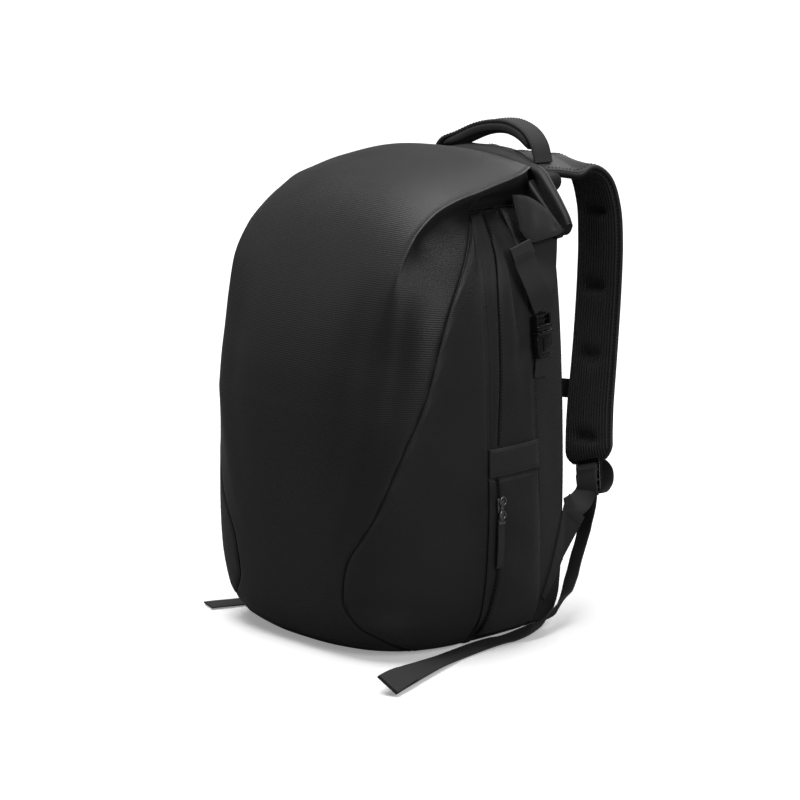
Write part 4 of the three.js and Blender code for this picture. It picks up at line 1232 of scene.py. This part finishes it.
class TopPieces(bpy.types.Operator):
    """Makes the rolled mouth, its folded ears, the yoke and the haul handle"""
    bl_idname = "backpack.top_pieces"
    bl_label = "Top"

    def execute(self, context):
        s = sizes()
        rear = s.body_depth * CROWN.read("top_y", CROWN_STEPS)
        z = SIDE_TOP * s.body_height + 0.0138
        points = [Vector((x * 0.098, rear + 0.011, z + 0.002 * (1 - x * x))) for x in (-1, -0.5, 0, 0.5, 1)]
        turns = lambda t: (1, 1 - 0.25 * abs(2 * t - 1) ** 6, 0)
        roll = ribbon("mouth_roll", points, [UP] * 5, 60, *MOUTH_ROLL, ring=28, power=2.6, shape=turns)
        dressed(plump(roll, 0.0035, 3.0, 0.0012), "front_cloth", ["roll_top"])
        self.ears()
        self.yoke()
        self.handle()
        return {"FINISHED"}

    def ears(self):
        """The folded corners: a roll that carries on from the mouth, and the web under it, both darkened all
        over as painted shade
        """
        path = [Vector(p) for p in (
            (0.099, 0.079, 0.4530), (0.112, 0.076, 0.4500), (0.130, 0.070, 0.4385),
            (0.146, 0.065, 0.4265), (0.159, 0.062, 0.4150), (0.1655, 0.060, 0.4085))]
        ways = [(0.3, -0.5, 0.8), (0.5, -0.4, 0.8), (0.55, -0.35, 0.75), *[(0.6, -0.3, 0.7)] * 3]
        lips = lambda t: (1.0 - 0.25 * t ** 3, 1.0 - 0.3 * t, 0)
        roll = ribbon("ear_roll_right", path, ways, 50, *EAR_ROLL, ring=28, power=3.0, shape=lips)
        # Corners of the web's inner and outer end: low rear, low front, high rear, high front
        inner = [Vector(c) for c in (
            (0.1165, 0.0860, 0.4050), (0.1290, 0.0480, 0.4045), (0.1030, 0.0860, 0.4520),
            (0.1090, 0.0600, 0.4520))]
        outer = [Vector(c) for c in (
            (0.1540, 0.0650, 0.3985), (0.1570, 0.0550, 0.3985), (0.1585, 0.0670, 0.4080),
            (0.1600, 0.0600, 0.4080))]

        def corner(end, v, t):
            return end[0].lerp(end[1], t).lerp(end[2].lerp(end[3], t), v)
        web = cube("ear_web", 7)
        for vertex in web.data.vertices:
            u, v, t = (c + 0.5 for c in vertex.co)
            p = corner(inner, v, t).lerp(corner(outer, v, t), u)
            vertex.co = p + Vector((0, -0.0012, 0)) * math.sin(v * 16) * (t > 0.9)
        applied(web, "SUBSURF", levels=1, render_levels=1)
        web.data.attributes.new("edge", "FLOAT", "POINT")
        bpy.ops.object.shade_smooth()
        ear = joined(roll, web)
        # Painted shade: the whole ear is darkened
        mark_painted_shade(ear, np.ones(len(ear.data.vertices)))
        pair(ear, "side_cloth", "ear")

        self.ear_flap()

    def ear_flap(self):
        """The loose corner that hangs over the top of the side wall"""
        bottom = smooth_path([(0.1405, 0.0215, 0.4085), (0.1470, 0.0300, 0.3975), (0.1575, 0.0410, 0.4015),
                              (0.1670, 0.0510, 0.4065)], 24)
        top = smooth_path([(0.1205, 0.0290, 0.4410), (0.1275, 0.0440, 0.4385), (0.1460, 0.0540, 0.4255),
                           (0.1680, 0.0525, 0.4095)], 24)

        def place(u, v):
            k = u * 24
            i = min(int(k), 23)
            a, b = bottom[i].lerp(bottom[i + 1], k - i), top[i].lerp(top[i + 1], k - i)
            bulge = 4 * v * (1 - v) * math.sin(math.pi * min(1, u * 1.1)) * 0.0030
            return a.lerp(b, v) + Vector((0.5, -0.8, 0.2)) * bulge
        places = grid(np.linspace(0, 1, 40), np.linspace(0, 1, 22), place)
        ripple = lambda points, across, up: 0.0005 * np.sin(across / 0.0032) * bell(up, up[-1:] * 0.5, 0.015)
        # Painted shadow of the roof: the flap is at least 0.45 dark everywhere and fully dark at its
        # tucked-in edge
        shade_of = lambda points, across, up: np.clip(1 - across / 0.012, 0.45, 1)
        flap = shell("ear_flap_right", places, thickness=THIN_CLOTH, relief=ripple, lining=shade_of, dip=0.5)
        pair(flap, "side_cloth", "ear_fold")

    def yoke(self):
        """The thick pad that joins the shoulder straps"""
        middle = 0.407 * sizes().body_depth
        places = np.linspace(-YOKE_HALF, YOKE_HALF, 9)
        points = [Vector((x, middle, shoulder_line(x, 0.018) + 0.0149)) for x in places]

        def ends(t):
            full = math.sqrt(max(0, 1 - abs(2 * t - 1) ** 6))
            return 0.45 + 0.55 * full, 0.40 + 0.60 * full, 0
        body = ribbon("yoke_pad", points, [BACK] * 9, 70, *YOKE, ring=32, power=2.7, shape=ends)
        dressed(plump(body, 0.004, 3.0, 0.0014), "plain_cloth", ["back_yoke"])

    def handle(self):
        """The band of the haul handle, with the padded grip under it"""
        path = smooth_path(along("band"), 80)
        band = sweep("handle_band", path, [BACK] * 81, *HANDLE, power=5)
        dressed(band, "webbing", ["haul_handle"])
        unders = {k: -(path[k + 1] - path[k - 1]).normalized().cross(BACK) for k in range(1, 80)}
        centre = [path[k] + unders[k].normalized() * 0.0060 for k in range(10, 72)]

        def full(t):
            return 1 - 0.12 * abs(2 * t - 1) ** 6, max(0.35, math.sqrt(max(0, 1 - abs(2 * t - 1) ** 7))), 0
        grip = sweep("handle_grip_pad", centre, [BACK] * len(centre), *GRIP, ring=32, power=2.8, shape=full)
        dressed(grip, "mesh", ["handle_grip"])
        seams = []
        for y in (-0.0100, 0.0100):
            outs = [-unders[k] for k in range(4, 77)]
            seams.append(([p + BACK * y + out * 0.00195 for p, out in zip(path[4:77], outs)], outs))
        dressed(stitches("handle_stitching", seams), "thread")


class BackPanel(bpy.types.Operator):
    """Makes the padded back with its air channels"""
    bl_idname = "backpack.back_panel"
    bl_label = "Back panel"

    def execute(self, context):
        s = sizes()

        def outline(u, v):
            across = 2 * u - 1
            top = shoulder_line(abs(across) * 0.108, 0.025)
            z = mix(0.0030, top, v)
            rear = wall(min(z, SIDE_TOP * s.body_height), 180)
            side_share = math.sqrt(max(0, 1 - min(1, abs(across) / 0.86) ** 3))
            foot = math.sqrt(max(0, 1 - max(0, 1 - 2 * v) ** 10))
            thick = 0.0022 + 0.0148 * side_share * foot
            return Vector((-(rear.x - 0.002) * across, rear.y + 0.0008 + thick, z))

        def channels(points, across, up):
            x, z = np.abs(points[..., 0]), points[..., 2]
            spine = -0.0085 * bell(x, 0, 0.011) * (z < 0.40)
            cross = -0.0075 * (bell(z, 0.150, 0.008) + bell(z, 0.285, 0.008)) * (x < 0.098)
            frame_line = -0.0040 * bell(x, 0.098, 0.004) * (z > 0.03)
            lumbar = 0.0010 * bell(z, 0.085, 0.03) * bell(x, 0.05, 0.03)
            return np.minimum(np.minimum(spine, cross), frame_line) + lumbar
        places = grid(clustered(90, 0.5), np.linspace(0, 1, 110), outline)
        pad = shell("back_padding", places, thickness=THIN_CLOTH, relief=channels)
        dressed(pad, "mesh", ["back_pad"])
        base = bpy.data.objects["base_panel"]
        base.data.materials.clear()
        base.data.materials.append(finish("base_cloth"))
        return {"FINISHED"}


# Straps

# Ways across the strap, and heights of the slots in its padding
STRAP_WAYS = [(-0.95, 0, 0.28), (-0.97, 0, 0.25), (-1, 0, 0), (-1, -0.05, 0), (-1, -0.05, 0), (-1, -0.08, 0),
              (-1, -0.1, 0)]
QUILTS = (0.404, 0.327, 0.258, 0.178)
STRAP_STEPS = 90


def strap_path(count):
    """The padded strap's middle, from the top of the yoke to the adjuster"""
    over_yoke = [spot(0.369, 0.392, 0.962), spot(0.382, 0.440, 0.959)]
    return smooth_path(over_yoke + along("strap")[1:], count)


class ShoulderStraps(bpy.types.Operator):
    """Makes the padded shoulder straps with their mesh, cover and bound edges"""
    bl_idname = "backpack.shoulder_straps"
    bl_label = "Shoulder straps"

    def execute(self, context):
        s = sizes()
        path = strap_path(STRAP_STEPS)
        ways = blended(STRAP_WAYS, STRAP_STEPS)
        closing = lambda t: 1 - 0.28 * max(0, (t - 0.93) / 0.07) ** 2 - 0.1 * max(0, (0.05 - t) / 0.05)
        padded = lambda t: (closing(t), math.sqrt(max(0.05, 1 - abs(2 * t - 1) ** 10)), -0.0016)
        covered = lambda t: (closing(t), 1, 0.0036)
        pad = sweep("strap_padding_right", path, ways, s.strap_width - 0.003, s.strap_thickness - 0.0035,
                    ring=48, power=2.7, shape=padded)
        self.quilt(pad, path)
        pair(pad, "mesh", "shoulder_strap")
        cover = sweep("strap_cover_right", path, ways, s.strap_width - 0.001, 0.0040, ring=32, power=3.2,
                      shape=covered)
        pair(cover, "plain_cloth")

        stations = frames_of(path, ways)

        def beside(inset, lift):
            """Lines along both edges of the strap"""
            return [[p + way * sign * (s.strap_width / 2 - inset) * closing(k / STRAP_STEPS) + out * lift
                     for k, (p, _, way, out) in enumerate(stations)] for sign in (-1, 1)]
        left, right = beside(0.0008, 0.0016)
        onward = (path[-1] - path[-2]).normalized() * 0.0015
        foot = [left[-1].lerp(right[-1], t) + onward * math.sin(math.pi * t)
                for t in (0.15, 0.35, 0.5, 0.65, 0.85)]
        binding = tube("strap_binding_right", left + foot + right[::-1], 0.0021, ring=10)
        pair(binding, "plain_cloth")
        outs = [out for _, _, _, out in stations]
        lines = [(line[4:-4], outs[4:-4]) for line in beside(0.0055, 0.00555)]
        pair(stitches("strap_stitching_right", lines), "thread")
        return {"FINISHED"}

    def quilt(self, pad, path):
        """Presses the short sewn slots into the padding's inner face and paints shade into them"""
        shares = np.zeros(len(pad.data.vertices))
        for v in pad.data.vertices:
            near = min(path, key=lambda p: (p - v.co).length_squared)
            if v.co.y >= near.y:
                continue
            for z in QUILTS:
                down = (v.co.z - z) / (0.0030 if v.co.z < z else 0.0060)
                sideways = (v.co.x - near.x) / 0.013
                pressed = math.exp(-down ** 2) * math.exp(-sideways ** 6)
                around = math.exp(-(down / 1.6) ** 2) * math.exp(-(sideways / 1.8) ** 4)
                v.co.y += 0.0034 * pressed + 0.0011 * around
                shares[v.index] += pressed
        # Painted shade in the pressed slots
        mark_painted_shade(pad, np.clip(shares, 0, 1))


def buckle_place():
    """Axes of the side buckle (back, up, out) and a function for places on it"""
    s = sizes()
    y, z = BUCKLE_DEPTH * s.body_depth, BUCKLE_HEIGHT * s.body_height
    axes = side_axes(y, z)
    return axes, placer(side(y, z) + axes[2] * 0.001, axes)


def adjuster_place():
    """Axes of the ladder adjuster (across, up, out) and a function for places on it"""
    points = along("strap")
    up = (points[-2] - points[-1]).normalized()
    across = Vector((1, 0.1, 0))
    across = (across - up * across.dot(up)).normalized()
    axes = (across, up, across.cross(up))
    return axes, placer(points[-1] - up * 0.0173, axes)


def strap_piece(name, points, ways, count, width=None, shape=None):
    """A length of webbing"""
    s = sizes()
    return ribbon(name, points, ways, count, width or s.webbing_width, s.webbing_thickness, ring=24, power=7,
                  shape=shape)


class Webbing(bpy.types.Operator):
    """Makes the webbing of the shoulder straps, the rolled mouth and the chest"""
    bl_idname = "backpack.webbing"
    bl_label = "Webbing"

    def execute(self, context):
        (across, _, _), at = adjuster_place()
        before, end = along("lower_webbing")[1:]
        points = [at(0, 0.007, 0.0046), at(0, -0.009, 0.0048), before, end, end + (end - before) * 0.4]
        ways = [across, across, (0.75, 0.5, -0.25), (0, 0.7, -0.7), (0, 0.7, -0.7)]
        lower = strap_piece("anchor_webbing_right", points, ways, 50)
        pair(lower, "webbing", "lower_webbing")
        bow = [at(0, up, out) for up, out in (
            (0.0150, -0.0030), (0.0170, -0.0110), (0.0090, -0.0235), (-0.0040, -0.0235),
            (-0.0150, -0.0130), (-0.0170, -0.0040))]
        pair(strap_piece("adjuster_bow_right", bow, [across] * 6, 50), "webbing")
        self.free_tails()
        self.rolled_mouth_straps()
        self.chest()
        self.wings()
        return {"FINISHED"}

    def free_tails(self):
        """The loose ends of the shoulder straps' webbing: a long one, and a short one on the left"""
        s = sizes()
        (across, _, _), at = adjuster_place()
        waves = lambda t: (1, 1, 0.0003 * math.sin(t * 40))
        start = [at(0.001, 0.003, 0.0072), at(0.002, -0.012, 0.0070)]
        ways = [across, across, *TAIL_WAYS[1:]]
        tail = strap_piece("free_tail_right", start + along("tail")[1:], ways, 200, shape=waves)
        last_ways = TAIL_WAYS[-3:]
        frames = frames_of(smooth_path(along("tail")[-3:], 20), blended(last_ways, 20))
        folded = [p + out * (s.webbing_thickness + 0.0002) for p, _, _, out in frames[4:]]
        fold = ribbon("tail_fold", [folded[0], folded[8], folded[-1]], last_ways, 16,
                      s.webbing_width - 0.0004, s.webbing_thickness, ring=24, power=7)
        dressed(joined(tail, fold), "webbing", ["strap_tail_right"])

        points = start + along("tail")[1:14] + along("short_tail")
        ways = ways[:15] + [(0.94, 0.3, 0), (0.92, 0.35, 0), (0.9, 0.4, 0)]
        short = strap_piece("short", points, ways, 170, shape=waves)
        left = mirrored(short, "free_tail_left")
        bpy.data.objects.remove(short)
        dressed(left, "webbing", ["strap_tail_left"])

    def rolled_mouth_straps(self):
        """The webbing above and below each side buckle, and its tail with a sewn hem"""
        s = sizes()
        _, at = buckle_place()
        upper, lower = along("roll_strap")[:2]
        points = [upper + (upper - lower) * 0.8, *along("roll_strap"), at(0, 0.0194, BUCKLE_LIFT)]
        ways = [(0.7, 0.7, 0.1), (0.6, 0.8, 0.1), (0.4, 0.9, 0.05), (0.1, 1, 0), (0, 1, 0)]
        pair(strap_piece("mouth_strap_right", points, ways, 40), "webbing", "roll_strap")

        points = [at(0, 0.0240, BUCKLE_LIFT + 0.003), *along("roll_tail")]
        ways = [(0, 1, 0), (0.05, 1, 0.1), (0.1, 0.95, 0.25), (0.1, 0.93, 0.3)]
        tail = strap_piece("mouth_tail_right", points, ways, 60)
        stations = frames_of(smooth_path(points, 60), blended(ways, 60))
        hem = [p - out * 0.0018 for p, _, _, out in stations[46:]]
        fold = sweep("hem", hem, [way for _, _, way, _ in stations[46:]], s.webbing_width + 0.0006, 0.0018,
                     ring=24, power=7)
        pair(joined(tail, fold), "webbing", "roll_strap_tail")
        bars = []
        for k in (48, 50):
            p, _, way, out = stations[k]
            bars.append(([p + way * x - out * 0.0029 for x in np.linspace(-0.0105, 0.0105, 12)], [-out] * 12))
        pair(stitches("mouth_tail_stitching_right", bars, pitch=0.0028), "thread")

        points = [at(0, -0.0262, BUCKLE_LIFT), at(0, -0.0355, 0.0032), at(0, -0.045, 0.002)]
        loop = strap_piece("mouth_anchor_right", points, [BACK] * 3, 20, width=0.021)
        pair(loop, "webbing", "buckle_loop")

    def chest(self):
        """The chest strap, which hangs a little between the shoulder straps"""
        low, high = (Vector(c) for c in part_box("chest_strap_right"))
        y, z = (low.y + high.y) / 2, (low.z + high.z) / 2
        points = [
            Vector((high.x - 0.0003, y, z + 0.001)),
            Vector(((low.x + high.x) / 2, y + 0.0008, z - 0.001)),
            Vector((low.x + 0.0003, y, z))]
        band = ribbon("chest_webbing_right", points, [UP] * 3, 20, 0.0198, 0.0016, ring=24, power=7)
        pair(band, "webbing", "chest_strap")

    def wings(self):
        """The cloth tabs that anchor the lower webbing to the bag"""
        s = sizes()
        corner = {k: Vector((v[0] * s.body_depth, v[1] * s.body_height)) for k, v in WING.items()}

        def place(u, v):
            p = corner["foot"].lerp(corner["top"], v).lerp(corner["free"].lerp(corner["tip"], v), u)
            rear = s.body_depth * SECTIONS.read("rear", p.y / s.body_height) + widest_line()
            y = min(p.x, rear)
            out = side_normal(y, p.y)
            return side(y, p.y) + Vector((WING_SLOPE, 1, 0)) * (p.x - y) + out * (0.0008 + THIN_CLOTH)
        places = grid(clustered(24), clustered(30), place)
        wing = shell("anchor_wing_right", places, thickness=THIN_CLOTH, dip=0.4)
        pair(wing, "side_cloth", "wing_tab")
        points = [place(0.93, v) + Vector((0.0002, 0, 0)) for v in np.linspace(0.45, 0.96, 24)]
        across = [place(u, 0.90) + Vector((0.0002, 0, 0)) for u in np.linspace(0.1, 0.9, 16)]
        outs = [side_normal(0.08, 0.09)]
        seams = [(points, outs * 24), (across, outs * 16)]
        pair(stitches("wing_stitching_right", seams), "thread")


class Fasteners(bpy.types.Operator):
    """Makes the side-release buckles, the strap adjusters and the chest buckle"""
    bl_idname = "backpack.fasteners"
    bl_label = "Fasteners"

    def execute(self, context):
        axes, on_buckle = buckle_place()
        at = lambda x, y, z: on_buckle(x, y, z + BUCKLE_LIFT)
        female = blocks(axes, at, [
            ("buckle_socket_body_right", (0, -0.0125, -0.0006), (0.0262, 0.0246, 0.0076), 0.0022, 0.86),
            ("rim", (0, -0.0016, 0), (0.0270, 0.0030, 0.0088), 0.0010),
            ("bar", (0, -0.0236, 0), (0.0240, 0.0026, 0.0086), 0.0010),
            ("crest", (0, -0.0125, 0.0034), (0.0090, 0.0150, 0.0016), 0.0007),
            *[("tip", (k * 0.0118, -0.0110, 0), (0.0030, 0.0110, 0.0056), 0.0012) for k in (-1, 1)],
        ])
        pair(female, "plastic", "buckle_socket")
        male = blocks(axes, at, [
            ("buckle_plug_body_right", (0, 0.0034, 0), (0.0258, 0.0058, 0.0078), 0.0014),
            *[("rail", (k * 0.0118, 0.0105, 0), (0.0026, 0.0125, 0.0064), 0.0010) for k in (-1, 1)],
            *[("end", (0, y, z), (0.0250, 0.0026, 0.0040), 0.0010)
              for y, z in ((0.0157, 0), (0.0106, -0.0010))],
        ])
        pair(male, "plastic", "buckle_plug")
        self.adjuster()

        low, high = (Vector(c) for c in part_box("chest_buckle"))
        size = high - low
        flat = (SIDEWAYS, UP, BACK)
        clasp = blocks(flat, placer((low + high) / 2, flat), [
            ("chest_clasp", (0, 0, 0), (size.x, size.z, size.y * 0.9), 0.0022),
            *[("rib", (x, 0, size.y * 0.42), (0.0016, size.z * 0.7, 0.0012), 0.0005)
              for x in (-0.006, 0, 0.006)],
        ])
        dressed(clasp, "plastic", ["chest_buckle"])
        return {"FINISHED"}

    def adjuster(self):
        """Ladder adjuster below the strap, with the webbing wound through it"""
        axes, at = adjuster_place()
        bars = (
            (0.0152, 0.0032, 0), (0.0051, 0.0030, 0.0006), (-0.0051, 0.0030, 0.0006), (-0.0150, 0.0034, 0))
        ladder = blocks(axes, at, [
            *[("strap_adjuster_right", (k * 0.0136, 0, 0), (0.0028, 0.0338, 0.0048), 0.0011)
              for k in (-1, 1)],
            *[("bar", (0, y, z), (0.0262, width, 0.0044), 0.0011) for y, width, z in bars],
        ])
        pair(ladder, "plastic", "ladder_lock")
        turns = [at(0, up, out) for up, out in (
            (-0.0205, 0.0010), (-0.0150, 0.0030), (-0.0100, 0.0012), (-0.0048, -0.0032),
            (0.0004, 0.0010), (0.0052, 0.0034), (0.0104, 0.0014), (0.0160, -0.0010))]
        wound = ribbon("adjuster_webbing_right", turns, [axes[0]] * 8, 60, 0.0240, 0.0014, ring=24, power=7)
        pair(wound, "webbing")


class Stitching(bpy.types.Operator):
    """Makes the zips up the sides and the lines of thread beside the seams"""
    bl_idname = "backpack.stitching"
    bl_label = "Zips and thread"

    def execute(self, context):
        line, outs = side_line(lambda z: seam_depth_at("zip_line", z), 0.206, 0.425, -0.0006, 120)
        pair(zip_chain("side_zip_right", line, outs), "plastic")
        lines = [
            side_line(lambda z: seam_depth_at("gusset_back", z) + 0.0036, 0.207, 0.41, 0.0002, 80),
            side_line(lambda z: seam_depth_at("back_seam", z) + 0.0036, 0.03, 0.38, 0.0002, 110),
        ]
        pair(stitches("side_stitching_right", lines), "thread")
        return {"FINISHED"}


# The stage

# Name, place, aim, size and power of each lamp
LIGHTS = (
    ("top", (-0.2, -0.1, 3.0), (0, 0, 0.3), 2.4, 115),
    ("right", (2.9, -0.5, 1.7), (0, 0, 0.25), 1.4, 42),
    ("left", (-2.4, -1.6, 1.3), (0, 0, 0.25), 1.2, 4),
    ("back", (-1.2, 2.8, 1.6), (0, 0, 0.25), 1.4, 26),
)
# Degrees of azimuth and elevation, metres, and millimetres for the lens
CAMERA = {"turn": (48, 12), "distance": 3.3, "target": (-0.004, -0.0045, 0.223), "lens": 148.5, "sensor": 36}


class Stage(bpy.types.Operator):
    """Sets the pale floor, the soft light and the camera"""
    bl_idname = "backpack.stage"
    bl_label = "Stage"

    def execute(self, context):
        clear_selection()
        bpy.ops.mesh.primitive_circle_add(vertices=96, radius=1.7, fill_type="NGON", location=(0, 0, -0.0002))
        floor = bpy.context.object
        floor.name = "floor"
        floor.data.materials.append(self.pale())
        self.sky(context.scene)
        for name, place, aim, size, power in LIGHTS:
            light = bpy.data.lights.new(name, "AREA")
            light.energy, light.size = power, size
            self.aimed(context, name, light, Vector(place), Vector(aim) - Vector(place))
        azimuth, elevation = (math.radians(angle) for angle in CAMERA["turn"])
        level = math.cos(elevation)
        back = Vector((math.sin(azimuth) * level, -math.cos(azimuth) * level, math.sin(elevation)))
        data = bpy.data.cameras.new("camera")
        data.lens, data.sensor_width = CAMERA["lens"], CAMERA["sensor"]
        place = Vector(CAMERA["target"]) + back * CAMERA["distance"]
        context.scene.camera = self.aimed(context, "camera", data, place, -back)
        context.scene.view_settings.view_transform = "Standard"
        return {"FINISHED"}

    def aimed(self, context, name, data, place, direction):
        """An object at a place that looks along a direction"""
        obj = bpy.data.objects.new(name, data)
        obj.location = place
        obj.rotation_euler = direction.to_track_quat("-Z", "Y").to_euler()
        context.collection.objects.link(obj)
        return obj

    def pale(self):
        """A floor that looks white and throws little light back at the bag"""
        material = bpy.data.materials.new("pale_floor")
        material.use_nodes = True
        shader = material.node_tree.nodes["Principled BSDF"]
        w = Wiring(material.node_tree)
        seen = w.node("ShaderNodeLightPath").outputs["Is Camera Ray"]
        w.link(colour_between(w, seen, (0.16, 0.16, 0.16), (0.90, 0.90, 0.90)), shader.inputs["Base Color"])
        w.link(colour_between(w, seen, (0, 0, 0), (0.26, 0.26, 0.26)), shader.inputs["Emission Color"])
        for key, value in (("Emission Strength", 1), ("Roughness", 0.9), ("Specular IOR Level", 0.1)):
            shader.inputs[key].default_value = value
        return material

    def sky(self, scene):
        """A white surround for the eye that lights the bag only faintly"""
        world = bpy.data.worlds.new("studio")
        world.use_nodes = True
        w = Wiring(world.node_tree)
        lit = world.node_tree.nodes["Background"]
        lit.inputs["Color"].default_value = (1, 1, 1, 1)
        lit.inputs["Strength"].default_value = 0.10
        seen = w.node("ShaderNodeBackground")
        seen.inputs["Color"].default_value = (1, 1, 1, 1)
        seen.inputs["Strength"].default_value = 1.3
        path, blend = w.node("ShaderNodeLightPath"), w.node("ShaderNodeMixShader")
        w.link(path.outputs["Is Camera Ray"], blend.inputs["Fac"])
        w.link(lit.outputs["Background"], blend.inputs[1])
        w.link(seen.outputs["Background"], blend.inputs[2])
        w.link(blend.outputs["Shader"], world.node_tree.nodes["World Output"].inputs["Surface"])
        scene.world = world


class BackpackPanel(bpy.types.Panel):
    """Lists the steps that build the bag"""
    bl_idname = "VIEW3D_PT_backpack"
    bl_label = "Helmet backpack"
    bl_space_type = "VIEW_3D"
    bl_region_type = "UI"
    bl_category = "Backpack"

    def draw(self, context):
        for group in (sizes(), colours()):
            for key in group.__annotations__:
                self.layout.prop(group, key)
        for step in STEPS:
            self.layout.operator(step.bl_idname)


STEPS = (Stage, FrontPanel, SidePanels, Pockets, TopPieces, BackPanel, ShoulderStraps, Webbing, Fasteners,
         Stitching)
CLASSES = (BackpackSizes, BackpackColours, *STEPS, BackpackPanel)


def register():
    for each in CLASSES:
        bpy.utils.register_class(each)
    bpy.types.Scene.backpack_sizes = PointerProperty(type=BackpackSizes)
    bpy.types.Scene.backpack_colours = PointerProperty(type=BackpackColours)


def unregister():
    del bpy.types.Scene.backpack_sizes
    del bpy.types.Scene.backpack_colours
    for each in reversed(CLASSES):
        bpy.utils.unregister_class(each)


def main():
    register()
    for step in STEPS:
        group, name = step.bl_idname.split(".")
        getattr(getattr(bpy.ops, group), name)()


if __name__ == "__main__":
    main()
